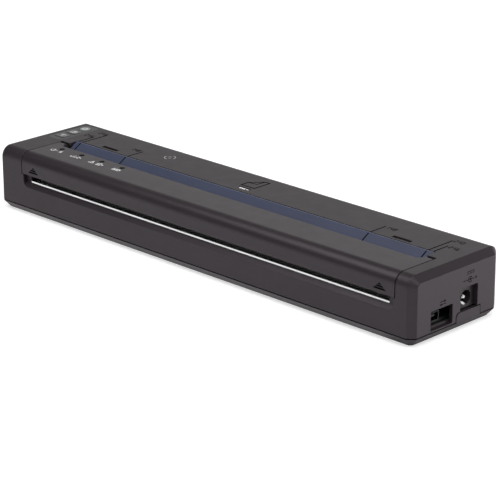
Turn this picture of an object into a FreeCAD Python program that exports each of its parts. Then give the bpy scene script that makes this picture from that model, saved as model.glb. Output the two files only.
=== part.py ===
import FreeCAD, Part
import math
import os

# A4 portable thermal printer, closed, standing on its rubber feet.
# X runs along the printer with the sockets at +X, -Y is the front where the sheet comes out, +Z is up.
# The origin is the bottom centre of the closed printer. All lengths are millimetres.

# Paper, bays and closed size
PAPER_WIDTH = 210.0
COVER_MARGIN = 8.75
LEFT_RAIL = 18.2
RIGHT_RAIL = 9.3
HEAD_BAY = 17.5
MOTOR_BAY = 14.9
BATTERY_SIZE = 19.0
BATTERY_REAR_MARGIN = 3.6
HEIGHT = 30.0

COVER_HALF = PAPER_WIDTH / 2 + COVER_MARGIN
LENGTH = 2 * COVER_HALF + LEFT_RAIL + RIGHT_RAIL
DEPTH = HEAD_BAY + MOTOR_BAY + BATTERY_SIZE + BATTERY_REAR_MARGIN
PATH_X = (LEFT_RAIL - RIGHT_RAIL) / 2
LEFT_X = -LENGTH / 2
RIGHT_X = LENGTH / 2
FRONT_Y = -DEPTH / 2
REAR_Y = DEPTH / 2

# Walls, gaps and general clearances
WALL = 1.8
END_CHAMFER = 3.0
REAR_CORNER = 4.2
LEFT_CHAMFER = 4.2
LEFT_CORNER = 4.8
LEAST_RADIUS = 0.3
FRONT_TOP_RADIUS = 5.0
REAR_TOP_RADIUS = 4.3
SEAM_GAP = 0.5
PART_GAP = 0.3
SEAT_GAP = 0.05
PIN_CLEARANCE = 0.05
PRESS_CLEARANCE = 0.02
OVERRUN = 1.0
OVERLAP = 0.4

# Bottom case with its tongue, and the feet
SEAM_Z = 4.4
FOOT_PROUD = 0.4
BOTTOM_TAPER = 3.0
BOTTOM_THICKNESS = 1.6
FLOOR_INSET = 4.6
TONGUE_THICKNESS = 1.2
TONGUE_CLEARANCE = 0.25
TONGUE_TOP_Z = 6.0
FOOT_LENGTH = 10.0
FOOT_WIDTH = 8.0
FOOT_RECESS = 0.6
FOOT_RADIUS = 2.0
FOOT_INSET_X = 14.5
FOOT_OFFSET_Y = 12.0
FLOOR_Z = FOOT_PROUD + BOTTOM_THICKNESS
TONGUE_INSET = WALL + TONGUE_CLEARANCE
TONGUE_INNER = TONGUE_INSET + TONGUE_THICKNESS

# Case screws and the bosses that they enter
SCREW_RADIUS = 1.25
SCREW_HEAD_RADIUS = 2.2
SCREW_HEAD_HEIGHT = 1.1
SCREW_LENGTH = 9.0
SCREW_SINK = 0.9
BOSS_RADIUS = 2.6
TOWER_SIZE = 6.4
BOSS_INSET_LEFT = 6.8
BOSS_INSET_RIGHT = 6.3
BOSS_INSET_FRONT = 6.6
BOSS_INSET_REAR = 6.0

# Release cover and its hinge
COVER_WALL = 1.8
COVER_SKIRT = 10.0
COVER_END_INSET = 0.2
COVER_REAR_Y = -7.8
HINGE_Y = -5.2
HINGE_DROP = 2.3
EAR_WIDTH = 4.25
EAR_SLANT = 2.2
BORE_RADIUS = 1.05
HINGE_PIN_RADIUS = 1.0
HINGE_PIN_INNER = 3.5
HINGE_PIN_OUTER = 1.6
REAR_LIP_THICKNESS = 1.2
REAR_LIP_DROP = 3.4
CHEEK_GAP = 0.45
CHEEK_THICKNESS = 1.6
CHEEK_RADIUS = 4.4
CHEEK_FRONT = 4.0
CHEEK_REAR = 5.5
RIB_COUNT = 11
RIB_THICKNESS = 1.0
RIB_DEPTH = 3.0
RIB_HEIGHT = 5.4
RIB_RISE = 0.6
COVER_LIP_Z = HEIGHT - COVER_SKIRT
COVER_END = COVER_HALF - COVER_END_INSET
HINGE_Z = HEIGHT - HINGE_DROP
EAR_INNER = COVER_HALF - EAR_WIDTH
COVER_REAR_HALF = EAR_INNER - EAR_SLANT
CHEEK_OUTER = EAR_INNER - CHEEK_GAP
CHEEK_INNER = CHEEK_OUTER - CHEEK_THICKNESS

# Entry strip and the chute below it
STRIP_GAP = 0.8
STRIP_REAR_GAP = 0.6
STRIP_REAR_Y = 2.1
STRIP_FLAT = 0.5
STRIP_FRONT_Y = -9.5
STRIP_THICKNESS = 1.7
STRIP_SLOPE_SHARE = 0.62
CHUTE_THICKNESS = 1.3
CHUTE_FLANGE = 1.15
CHUTE_DROP = 7.5
CHUTE_MARGIN = 2.2
CHUTE_RIB_COUNT = 9
CHUTE_RIB_THICKNESS = 1.0
STRIP_HALF = EAR_INNER - STRIP_GAP
CHUTE_HALF = EAR_INNER - CHUTE_MARGIN

# Deck edge, bulkheads, exit trough and exit bar of the upper case
BULKHEAD = 1.8
NOTCH_GAP = 0.35
GUIDE_WALL_THICKNESS = 1.6
GUIDE_WALL_DROP = 8.0
MARK_RECESS_MARGIN = 24.75
MARK_RECESS_LENGTH = 10.0
MARK_RECESS_WIDTH = 2.1
MARK_RECESS_DEPTH = 0.8
MARK_RECESS_SETBACK = 1.3
TROUGH_DROP = 16.0
TROUGH_MARGIN = 0.85
TROUGH_DEPTH = 2.0
TROUGH_RADIUS = 3.0
SILL_LEDGE = 0.6
SILL_DROP = 3.0
EXIT_PLATE = 1.2
BAR_THICKNESS = 0.8
BAR_DEPTH = 2.0
BAR_LEG_DROP = 5.0
BAR_LEG_THICKNESS = 0.8
TROUGH_Z = HEIGHT - TROUGH_DROP
TROUGH_HALF = COVER_HALF - TROUGH_MARGIN

# Button panel, keys and the button board
PANEL_LEFT = 6.3
PANEL_LENGTH = 9.7
PANEL_FRONT_Y = -2.0
PANEL_DEPTH = 24.8
PANEL_THICKNESS = 0.8
PANEL_RADIUS = 2.6
KEY_COUNT = 3
POWER_KEY = 2
KEY_FIRST_Y = 3.5
KEY_PITCH = 7.0
KEY_WIDTH = 6.4
KEY_DEPTH = 5.0
KEY_RADIUS = 1.1
KEY_PROUD = 0.15
KEY_GAP = 0.2
KEY_FLANGE = 0.6
KEY_FLANGE_THICKNESS = 0.7
KEY_STEM_WIDTH = 2.4
KEY_STEM = 1.8
KEY_TRAVEL = 0.6
SWITCH_SIZE = 4.5
SWITCH_HEIGHT = 2.0
PLUNGER_RADIUS = 0.9
PLUNGER_HEIGHT = 0.6
SMALL_BOARD_THICKNESS = 1.2
BUTTON_BOARD_MARGIN = 0.7
BUTTON_BOARD_FRONT = 6.5
BUTTON_BOARD_REAR = 1.4
BOARD_POST_WIDTH = 1.5

# Indicator lamps in the cover
INDICATOR_Y = -11.0
INDICATOR_MARGIN = 9.5
INDICATOR_PITCH = 13.7
INDICATOR_COUNT = 4
LENS_RADIUS = 0.6
LENS_FLANGE_WIDTH = 2.2
LENS_FLANGE = 0.6
LAMP_LENGTH = 1.6
LAMP_WIDTH = 0.8
LAMP_HEIGHT = 0.4
INDICATOR_BOARD_THICKNESS = 0.5
INDICATOR_BOARD_LENGTH = 46.5
INDICATOR_BOARD_MARGIN = 2.45
INDICATOR_BOARD_FRONT_Y = -12.8
INDICATOR_BOARD_WIDTH = 3.5
INDICATOR_POST = 1.5

# Platen roller
PLATEN_SETBACK = 11.3
PLATEN_TOP_GAP = 0.7
PLATEN_RADIUS = 4.6
PLATEN_EXTRA = 0.4
SHAFT_RADIUS = 2.0
SHAFT_END_GAP = 0.15
SHAFT_RIGHT_END = 0.5
BUSH_RADIUS = 3.2
BUSH_FLANGE_RADIUS = 3.9
BUSH_FLANGE = 0.5
PLATEN_Y = FRONT_Y + PLATEN_SETBACK
PLATEN_Z = HEIGHT - COVER_WALL - PLATEN_TOP_GAP - PLATEN_RADIUS
RUBBER_HALF = PAPER_WIDTH / 2 + PLATEN_EXTRA

# Gear train in two planes at the left end; the bearings are directions in the plane across the rollers
MODULE = 0.5
PLATEN_TEETH = 18
IDLER_TEETH = 16
COMPOUND_SMALL_TEETH = 12
COMPOUND_LARGE_TEETH = 20
PINION_TEETH = 10
IDLER_BEARING = math.radians(-62.6)
COMPOUND_BEARING = math.radians(29.8)
MOTOR_BEARING = math.radians(-60.3)
CENTRE_EXTRA = 0.1
TIP_SHARE = 0.95
ROOT_SHARE = 1.2
HALF_SHARE = 0.5
# Half widths of a tooth at root, pitch circle and tip, as shares of the pitch angle
TOOTH_SHARES = (0.32, 0.22, 0.10)
GEAR_PLANE_GAP = 0.3
GEAR_A_WIDTH = 2.1
GEAR_B_WIDTH = 1.8
GEAR_PLATE_GAP = 0.4
GEAR_PLATE_THICKNESS = 1.0
AXLE_RADIUS = 1.0
AXLE_HEAD_RADIUS = 1.6
AXLE_HEAD = 0.3
GEAR_A_OUTER = COVER_HALF - PART_GAP
GEAR_A_INNER = GEAR_A_OUTER - GEAR_A_WIDTH
GEAR_B_OUTER = GEAR_A_INNER - GEAR_PLANE_GAP
GEAR_B_INNER = GEAR_B_OUTER - GEAR_B_WIDTH
PLATE_OUTER = GEAR_B_INNER - GEAR_PLATE_GAP
PLATE_INNER = PLATE_OUTER - GEAR_PLATE_THICKNESS

# Feed motor
MOTOR_RADIUS = 6.8
MOTOR_LENGTH = 17.0
MOTOR_NOSE_RADIUS = 3.0
MOTOR_NOSE = 1.0
MOTOR_SHAFT_RADIUS = 0.75
MOTOR_SHAFT_INSIDE = 9.0
MOTOR_BAND = 2.4
MOTOR_BAND_PROUD = 0.4
MOTOR_TAB_WIDTH = 6.0
MOTOR_TAB_LENGTH = 8.0
MOTOR_TAB_HEIGHT = 2.4

# Thermal head on its aluminium carrier, its pivots, springs and frame
NIP_GAP = 0.3
HEAD_EXTRA = 0.95
HEAD_THICKNESS = 0.8
HEAD_FRONT_MARGIN = 1.5
HEAD_REAR_MARGIN = 2.0
DRIVER_HEIGHT = 0.9
DRIVER_WIDTH = 0.9
CARRIER_FRONT = 5.5
CARRIER_TOP_THICKNESS = 1.2
CARRIER_EXTRA = 0.5
CARRIER_FIN = 1.6
CARRIER_FIN_INSET = 1.0
CARRIER_FIN_SHARE = 0.4
CARRIER_HUB_WIDTH = 3.2
CARRIER_HUB_SHARE = 0.63
PIVOT_SHARE = 0.5
PIVOT_INSET = 1.6
PIVOT_RADIUS = 1.0
PIVOT_DEPTH = 3.4
PIVOT_BORE_DEPTH = 4.4
FRAME_BASE_Z = 4.6
FRAME_THICKNESS = 1.0
FRAME_FRONT_MARGIN = 1.3
FRAME_REAR_MARGIN = 0.5
FRAME_LIP_SHARE = 0.38
FRAME_END_GAP = 0.95
FRAME_END_SHARE = 0.72
SPRING_COUNT = 6
SPRING_WIDTH = 8.0
SPRING_THICKNESS = 0.4
SPRING_FOOT = 3.4
SPRING_BEND_SHARE = 0.43
SPRING_SPREAD_SHARE = 1.1
HEAD_REAR_Y = FRONT_Y + HEAD_BAY
HEAD_TOP_Z = PLATEN_Z - PLATEN_RADIUS - NIP_GAP
HEAD_HALF = PAPER_WIDTH / 2 + HEAD_EXTRA
CARRIER_HALF = HEAD_HALF + CARRIER_EXTRA
CARRIER_TOP_Z = HEAD_TOP_Z - HEAD_THICKNESS
CARRIER_FRONT_Y = FRONT_Y + CARRIER_FRONT
CARRIER_UNDERSIDE_Z = CARRIER_TOP_Z - CARRIER_TOP_THICKNESS
PIVOT_Y = HEAD_REAR_Y - PIVOT_INSET
FRAME_TOP_Z = FRAME_BASE_Z + FRAME_THICKNESS
HEAD_SPACE = CARRIER_TOP_Z - FRAME_TOP_Z
PIVOT_Z = CARRIER_TOP_Z - HEAD_SPACE * PIVOT_SHARE
FRAME_LIP = HEAD_SPACE * FRAME_LIP_SHARE
FRAME_END = CARRIER_HALF + FRAME_END_GAP
FRAME_END_TOP_Z = FRAME_TOP_Z + HEAD_SPACE * FRAME_END_SHARE

# Battery, its bay, its cover and its contacts
BATTERY_LEFT_BAY = 27.0
BATTERY_RIGHT_BAY = 23.0
BATTERY_Z = 3.0
BATTERY_RADIUS = 5.0
BATTERY_CAP = 6.0
BATTERY_CAP_STEP = 0.35
BAY_LEFT_MARGIN = 1.5
BAY_RIGHT_MARGIN = 4.5
BAY_FRONT_MARGIN = 1.6
BAY_RIB = 1.0
BAY_RIB_HEIGHT = 3.0
DOOR_RIB_COUNT = 5
DOOR_RIB_THICKNESS = 1.2
DOOR_GRIP_LENGTH = 16.0
DOOR_GRIP_WIDTH = 1.2
DOOR_GRIP_DEPTH = 0.6
DOOR_GRIP_COUNT = 4
DOOR_GRIP_PITCH = 2.4
HOLD_RIB_COUNT = 3
HOLD_RIB_THICKNESS = 1.2
CONTACT_LENGTH = 3.8
CONTACT_WIDTH = 11.0
CONTACT_HEIGHT = 7.5
CONTACT_BLADE = 0.6
CONTACT_BLADE_REACH = 0.25
CONTACT_BLADE_COUNT = 3
CONTACT_BLADE_PITCH = 3.0
CONTACT_BLADE_HEIGHT = 4.5
BATTERY_Y = HEAD_REAR_Y + MOTOR_BAY
BATTERY_LEFT_X = LEFT_X + BATTERY_LEFT_BAY
BATTERY_RIGHT_X = RIGHT_X - BATTERY_RIGHT_BAY
BAY_LEFT_X = BATTERY_LEFT_X - BAY_LEFT_MARGIN
BAY_RIGHT_X = BATTERY_RIGHT_X + BAY_RIGHT_MARGIN
BAY_FRONT_Y = BATTERY_Y - BAY_FRONT_MARGIN

# Main board and what stands on it
BOARD_Z = 6.0
BOARD_THICKNESS = 1.2
BOARD_END = 3.7
BOARD_ARM_FRONT = 1.0
BOARD_ARM_REAR = 1.0
BOARD_ARM_LEFT = 45.5
BOARD_STEP = 14.0
BOARD_FRONT = 10.0
BOARD_REAR = 9.0
BOARD_CLEAR = 0.3
BOARD_TOP_Z = BOARD_Z + BOARD_THICKNESS
CHIP_COUNT = 3
CHIP_SIZE = 9.0
CHIP_HEIGHT = 1.4
CHIP_SETBACK = 16.0
CHIP_PITCH = 22.0
CAPACITOR_COUNT = 2
CAPACITOR_RADIUS = 4.0
CAPACITOR_HEIGHT = 9.0
CAPACITOR_SETBACK = 82.0
CAPACITOR_PITCH = 10.0
HEAD_SOCKET_LENGTH = 42.0
HEAD_SOCKET_DEPTH = 4.0
HEAD_SOCKET_HEIGHT = 3.0
HEAD_CABLE_WIDTH = 38.0
HEAD_CABLE_THICKNESS = 0.3
HEAD_CABLE_RADIUS = 1.5
HEAD_CABLE_GAP = 0.35
CHASSIS_SCREW_RADIUS = 1.0
CHASSIS_HEAD_RADIUS = 1.8
CHASSIS_HEAD = 0.8
CHASSIS_SCREW_LENGTH = 3.2
POST_SIZE = 3.8

# Sockets in the right end
USB_CENTRE = 17.9
USB_OPENING_WIDTH = 13.4
USB_OPENING_Z = 5.0
USB_OPENING_HEIGHT = 8.3
USB_OFFSET = 2.2
USB_WIDTH = 7.7
USB_HEIGHT = 4.0
USB_LENGTH = 9.0
USB_SETBACK = 2.9
USB_SHELL = 0.4
USB_MOUTH_DEPTH = 6.0
USB_TONGUE_WIDTH = 4.6
USB_TONGUE_HEIGHT = 0.9
USB_CORNER = 1.2
DC_CENTRE = 20.3
DC_RECESS_WIDTH = 10.8
DC_RECESS_Z = 8.1
DC_RECESS_HEIGHT = 9.9
DC_RECESS_DEPTH = 2.3
DC_RECESS_RADIUS = 0.8
DC_COLLAR = 0.85
DC_COLLAR_LENGTH = 1.8
DC_BODY_LENGTH = 14.0
DC_HOLE_RADIUS = 3.15
DC_HOLE_DEPTH = 9.5
DC_HOLE_RISE = 5.2
DC_PIN_RADIUS = 1.0
DC_PIN_SETBACK = 0.8
DC_PIN_CHAMFER = 0.4
DC_HOLE_OFFSET = 0.5
END_TAB_FRONT = 27.2
END_TAB_WIDTH = 14.7
END_TAB_TOP_Z = 7.9
END_TAB_RADIUS = 2.2

# Sensors
SENSOR_X = 20.0
SENSOR_LENGTH = 5.0
SENSOR_DEPTH = 4.0
SENSOR_HEIGHT = 2.2
SENSOR_SETBACK = 4.0
COVER_SWITCH_DEPTH = 6.0
COVER_SWITCH_HEIGHT = 5.4
COVER_SWITCH_WIDTH = 3.1
COVER_SWITCH_DROP = 11.4
COVER_SWITCH_Y = -10.0
COVER_SWITCH_PLUNGER = 1.0
COVER_SWITCH_RADIUS = 0.7
COVER_POST_RADIUS = 0.8
COVER_SWITCH_TOP_Z = HEIGHT - COVER_SWITCH_DROP


def point(x, y, z):
    return FreeCAD.Vector(x, y, z)


def slab(x, y, z):
    """Box between three pairs of low and high values."""
    return Part.makeBox(x[1] - x[0], y[1] - y[0], z[1] - z[0], point(x[0], y[0], z[0]))


def span(low, size):
    return (low, low + size)


def centred(middle, size):
    return (middle - size / 2, middle + size / 2)


def left(outer, inner):
    """Pair of x values at the left end, from distances measured off the middle of the paper path."""
    return (PATH_X - outer, PATH_X - inner)


def right(inner, outer):
    return (PATH_X + inner, PATH_X + outer)


def across(half):
    return (PATH_X - half, PATH_X + half)


def prism_x(outline, x):
    """Solid along X with an outline of (y, z) points."""
    wire = Part.makePolygon([point(x[0], y, z) for y, z in outline + outline[:1]])
    return Part.Face(wire).extrude(point(x[1] - x[0], 0, 0))


def prism_z(outline, z):
    """Solid along Z with an outline of (x, y) points."""
    wire = Part.makePolygon([point(x, y, z[0]) for x, y in outline + outline[:1]])
    return Part.Face(wire).extrude(point(0, 0, z[1] - z[0]))


def rod_x(radius, x, y, z):
    return Part.makeCylinder(radius, x[1] - x[0], point(x[0], y, z), point(1, 0, 0))


def rod_z(radius, x, y, z):
    return Part.makeCylinder(radius, z[1] - z[0], point(x, y, z[0]), point(0, 0, 1))


def join(shapes):
    """One solid from shapes that touch or overlap."""
    whole = shapes[0].multiFuse(shapes[1:]) if len(shapes) > 1 else shapes[0]
    return whole.removeSplitter()


def group(shapes):
    return Part.makeCompound(shapes)


def round_edges(shape, direction, radius, chosen=None):
    """Fillet the straight edges that run along direction and that chosen accepts."""
    edges = []
    for edge in shape.Edges:
        ends = edge.Vertexes
        if len(ends) < 2 or not isinstance(edge.Curve, Part.Line):
            continue
        run = ends[1].Point.sub(ends[0].Point)
        if abs(abs(run.dot(direction)) - run.Length) > run.Length * PARALLEL_SHARE:
            continue
        if chosen is None or chosen(edge.CenterOfMass):
            edges.append(edge)
    return shape.makeFillet(radius, edges)


PARALLEL_SHARE = 0.001
ALONG_X = point(1, 0, 0)
ALONG_Y = point(0, 1, 0)
ALONG_Z = point(0, 0, 1)


def write(shape, name):
    shape.exportStep("parts/" + name + ".step")


# Outer form of the printer


def end_section(x, front, rear, top, low_z):
    """Cross outline of the body at x, moved in by front, rear and top at those sides."""
    front_radius = max(FRONT_TOP_RADIUS - front, LEAST_RADIUS)
    rear_radius = max(REAR_TOP_RADIUS - rear, LEAST_RADIUS)
    front_centre = (FRONT_Y + front + front_radius, HEIGHT - top - front_radius)
    rear_centre = (REAR_Y - rear - rear_radius, HEIGHT - top - rear_radius)

    def on_arc(centre, radius, degrees):
        turn = math.radians(degrees)
        return point(x, centre[0] + radius * math.cos(turn), centre[1] + radius * math.sin(turn))

    corners = [point(x, FRONT_Y + front, low_z), on_arc(front_centre, front_radius, 180),
               on_arc(front_centre, front_radius, 90), on_arc(rear_centre, rear_radius, 90),
               on_arc(rear_centre, rear_radius, 0), point(x, REAR_Y - rear, low_z)]
    edges = [Part.makeLine(corners[0], corners[1]),
             Part.Arc(corners[1], on_arc(front_centre, front_radius, 135), corners[2]).toShape(),
             Part.makeLine(corners[2], corners[3]),
             Part.Arc(corners[3], on_arc(rear_centre, rear_radius, 45), corners[4]).toShape(),
             Part.makeLine(corners[4], corners[5]),
             Part.makeLine(corners[5], corners[0])]
    return Part.Wire(edges)


def body_form(offset, low_z):
    """The closed printer above low_z, with every wall moved inwards by offset."""
    rise = offset * (math.sqrt(2) - 1)
    end_x = LENGTH / 2 - offset
    sections = [(-end_x, LEFT_CORNER + rise, LEFT_CHAMFER + rise, LEFT_CHAMFER + rise),
                (LEFT_CHAMFER + rise - LENGTH / 2, offset, offset, offset),
                (LENGTH / 2 - END_CHAMFER - rise, offset, offset, offset),
                (end_x, END_CHAMFER + rise, REAR_CORNER + rise, END_CHAMFER + rise)]
    return Part.makeLoft([end_section(*section, low_z) for section in sections], True, True)


def plan_outline(inset, z):
    """Plan of the body at z with its corners cut off, moved in by inset."""
    half_x = LENGTH / 2 - inset
    half_y = DEPTH / 2 - inset
    trim = inset * (2 - math.sqrt(2))
    right_x = half_x - END_CHAMFER + trim
    left_x = LEFT_CHAMFER - trim - half_x
    points = [(left_x, -half_y), (right_x, -half_y), (half_x, END_CHAMFER - trim - half_y),
              (half_x, half_y - REAR_CORNER + trim), (right_x, half_y), (left_x, half_y),
              (-half_x, half_y - LEFT_CHAMFER + trim), (-half_x, LEFT_CORNER - trim - half_y)]
    return Part.makePolygon([point(x, y, z) for x, y in points + points[:1]])


def plan_solid(low_inset, low_z, high_inset, high_z):
    return Part.makeLoft([plan_outline(low_inset, low_z), plan_outline(high_inset, high_z)], True, True)


# Places shared by the two case halves


def screw_places():
    front = FRONT_Y + BOSS_INSET_FRONT
    rear = REAR_Y - BOSS_INSET_REAR
    return [(LEFT_X + BOSS_INSET_LEFT, front), (LEFT_X + BOSS_INSET_LEFT, rear),
            (RIGHT_X - BOSS_INSET_RIGHT, front), (RIGHT_X - BOSS_INSET_RIGHT, rear)]


def screw_heads():
    """Heights of the underside and the top of a case screw's head."""
    return span(FOOT_PROUD + SCREW_SINK, SCREW_HEAD_HEIGHT)


def bay_region(low_z, high_z, grow):
    """Space of the battery cover, from the bay's front edge out past the rear wall."""
    return slab((BAY_LEFT_X - grow, BAY_RIGHT_X + grow), (BAY_FRONT_Y - grow, REAR_Y + OVERRUN),
                (low_z, high_z))


def tongue_ring():
    """Tongue of the lower half, which stands inside the upper half all round."""
    outer = plan_solid(TONGUE_INSET, FLOOR_Z, TONGUE_INSET, TONGUE_TOP_Z)
    inner = plan_solid(TONGUE_INNER, FLOOR_Z - OVERRUN, TONGUE_INNER, TONGUE_TOP_Z + OVERRUN)
    return outer.cut(inner)


def tray():
    """Tapered lower half before it is divided into bottom case and battery cover."""
    rim_z = SEAM_Z - SEAM_GAP
    outer = plan_solid(BOTTOM_TAPER, FOOT_PROUD, 0, rim_z)
    inner = plan_solid(FLOOR_INSET, FLOOR_Z, TONGUE_INNER, rim_z + OVERLAP)
    cavity = inner.fuse(plan_solid(TONGUE_INNER, rim_z, TONGUE_INNER, HEIGHT))
    return outer.fuse(tongue_ring()).cut(cavity)


# Upper case


def strip_surface_z(y):
    """Height of the entry strip's upper face at y."""
    return HEIGHT - (STRIP_REAR_Y - STRIP_FLAT - y) * STRIP_SLOPE_SHARE


def guide_wall_y():
    return STRIP_REAR_Y + STRIP_REAR_GAP


def sill():
    """Sloped lower lip of the paper exit, with a ledge for the exit bar."""
    ledge_y = FRONT_Y + TROUGH_DEPTH
    top_z = TROUGH_Z + TROUGH_DEPTH
    back_y = ledge_y + SILL_LEDGE
    outline = [(FRONT_Y, TROUGH_Z), (ledge_y, top_z), (back_y, top_z), (back_y, TROUGH_Z),
               (FRONT_Y + WALL, TROUGH_Z - SILL_LEDGE), (FRONT_Y + WALL, TROUGH_Z - SILL_DROP),
               (FRONT_Y, TROUGH_Z - SILL_DROP)]
    return prism_x(outline, across(COVER_HALF + PART_GAP + BULKHEAD))


def trough_cutter():
    """Space in front of the paper exit: round-cornered, with a floor that slopes up to the ledge."""
    ledge_y = FRONT_Y + TROUGH_DEPTH
    lip_z = COVER_LIP_Z - PART_GAP
    slope = [(FRONT_Y - TROUGH_DEPTH, TROUGH_Z - TROUGH_DEPTH), (ledge_y, TROUGH_Z + TROUGH_DEPTH),
             (ledge_y, lip_z + TROUGH_RADIUS), (FRONT_Y - TROUGH_DEPTH, lip_z + TROUGH_RADIUS)]
    face = slab(across(TROUGH_HALF), (FRONT_Y - OVERRUN, ledge_y + OVERRUN),
                (TROUGH_Z, lip_z + TROUGH_RADIUS + OVERRUN))
    rounded = round_edges(face, ALONG_Y, TROUGH_RADIUS, lambda middle: middle.z < lip_z)
    return prism_x(slope, across(TROUGH_HALF + OVERRUN)).common(rounded)


def panel_places():
    """X and Y spans of the button panel."""
    return span(LEFT_X + PANEL_LEFT, PANEL_LENGTH), span(PANEL_FRONT_Y, PANEL_DEPTH)


def panel_plate(grow, z):
    x, y = panel_places()
    plate = slab((x[0] - grow, x[1] + grow), (y[0] - grow, y[1] + grow), z)
    return round_edges(plate, ALONG_Z, PANEL_RADIUS + grow)


def key_centre(index):
    x, y = panel_places()
    return (sum(x) / 2, KEY_FIRST_Y + index * KEY_PITCH)


def key_cap(index, grow, z):
    """Cap of a key; the last one is the round power key."""
    x, y = key_centre(index)
    if index == POWER_KEY:
        return rod_z(KEY_DEPTH / 2 + grow, x, y, z)
    cap = slab(centred(x, KEY_WIDTH + 2 * grow), centred(y, KEY_DEPTH + 2 * grow), z)
    return round_edges(cap, ALONG_Z, KEY_RADIUS + grow)


def button_board_places():
    inner_x = LEFT_X + LEFT_CHAMFER
    outer_x = PATH_X - COVER_HALF - PART_GAP - BULKHEAD
    x = (inner_x + BUTTON_BOARD_MARGIN, outer_x - BUTTON_BOARD_MARGIN / 2)
    y = (KEY_FIRST_Y - BUTTON_BOARD_FRONT, KEY_FIRST_Y + POWER_KEY * KEY_PITCH + BUTTON_BOARD_REAR)
    return x, y


def button_board_top_z():
    key_foot_z = HEIGHT - WALL - SEAT_GAP - KEY_FLANGE_THICKNESS - KEY_STEM
    return key_foot_z - KEY_TRAVEL - SEAT_GAP * 2 - PLUNGER_HEIGHT - SWITCH_HEIGHT


def button_board_posts():
    """Two ribs on the bulkhead and one post near the end wall that the button board hangs from."""
    x, y = button_board_places()
    z = (button_board_top_z(), HEIGHT - WALL + OVERLAP)
    wall_x = PATH_X - COVER_HALF - PART_GAP - BULKHEAD
    spots = [KEY_FIRST_Y - KEY_PITCH / 2, KEY_FIRST_Y + KEY_PITCH / 2, KEY_FIRST_Y + KEY_PITCH * 3 / 2]
    posts = [slab((wall_x - BOARD_POST_WIDTH, wall_x + OVERLAP), centred(spot, BOARD_POST_WIDTH / 2), z)
             for spot in spots[1:]]
    posts.append(slab(span(x[0], BOARD_POST_WIDTH), centred(spots[1], BOARD_POST_WIDTH / 2), z))
    posts.append(slab(centred(sum(x) / 2, BOARD_POST_WIDTH),
                      centred(spots[0] - BOARD_POST_WIDTH, BOARD_POST_WIDTH), z))
    return posts


def bulkheads():
    """Inner walls beside the cover, from the seam to the deck."""
    body = body_form(0, SEAM_Z)
    walls = []
    for x in (left(COVER_HALF + PART_GAP + BULKHEAD, COVER_HALF + PART_GAP),
              right(COVER_HALF + PART_GAP, COVER_HALF + PART_GAP + BULKHEAD)):
        walls.append(slab(x, (FRONT_Y, BATTERY_Y - PART_GAP), (TONGUE_TOP_Z + PART_GAP, HEIGHT)).common(body))
    walls[1] = walls[1].cut(socket_passage())
    return walls


def socket_passage():
    """Space that the right bulkhead leaves for the board's end and the two sockets."""
    x = right(COVER_HALF, COVER_HALF + PART_GAP + BULKHEAD + OVERRUN)
    dc_y, dc_z = dc_places()
    over_usb = slab(x, (FRONT_Y + BOARD_FRONT - PART_GAP, BATTERY_Y),
                    (SEAM_Z, BOARD_TOP_Z + USB_HEIGHT + PART_GAP))
    over_dc = slab(x, (dc_y[0] - PART_GAP, BATTERY_Y), (SEAM_Z, dc_z[1] + PART_GAP))
    return over_usb.fuse(over_dc)


def exit_plates():
    """Upright plates that close the trough beside the paper opening."""
    ledge_y = FRONT_Y + TROUGH_DEPTH
    z = (TROUGH_Z - SILL_LEDGE, COVER_LIP_Z - PART_GAP)
    y = span(ledge_y, EXIT_PLATE)
    outer = COVER_HALF + PART_GAP + OVERLAP
    return [slab(left(outer, EAR_INNER), y, z), slab(right(EAR_INNER, outer), y, z)]


def battery_hold_ribs():
    """Ribs below the deck that keep the battery from lifting."""
    z = (BATTERY_Z + BATTERY_SIZE + PART_GAP, HEIGHT - WALL + OVERLAP)
    y = (guide_wall_y() + OVERLAP, REAR_Y - WALL + OVERLAP)
    length = BATTERY_RIGHT_X - BATTERY_LEFT_X
    ribs = []
    for index in range(HOLD_RIB_COUNT):
        x = BATTERY_LEFT_X + length * (index + 1) / (HOLD_RIB_COUNT + 1)
        ribs.append(slab(centred(x, HOLD_RIB_THICKNESS), y, z))
    return ribs


def dc_places():
    """Y and Z spans of the recess of the power socket."""
    return centred(REAR_Y - DC_CENTRE, DC_RECESS_WIDTH), span(DC_RECESS_Z, DC_RECESS_HEIGHT)


def dc_recess(grow, x):
    y, z = dc_places()
    hole = slab(x, (y[0] - grow, y[1] + grow), (z[0] - grow, z[1] + grow))
    return round_edges(hole, ALONG_X, DC_RECESS_RADIUS + grow)


def usb_opening():
    y = centred(FRONT_Y + USB_CENTRE, USB_OPENING_WIDTH)
    opening = slab((RIGHT_X - WALL - OVERRUN, RIGHT_X + OVERRUN), y, span(USB_OPENING_Z, USB_OPENING_HEIGHT))
    return round_edges(opening, ALONG_X, DC_RECESS_RADIUS / 2)


def end_tab(grow, x):
    """Tab of the bottom case that closes the end wall below the power socket."""
    y = span(FRONT_Y + END_TAB_FRONT, END_TAB_WIDTH)
    tab = slab(x, (y[0] - grow, y[1] + grow / 2), (SEAM_Z - SEAM_GAP - OVERLAP, END_TAB_TOP_Z + grow))
    top_z = END_TAB_TOP_Z
    middle_y = sum(y) / 2
    return round_edges(tab, ALONG_X, END_TAB_RADIUS,
                       lambda middle: middle.y < middle_y and middle.z > top_z - END_TAB_RADIUS)


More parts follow.
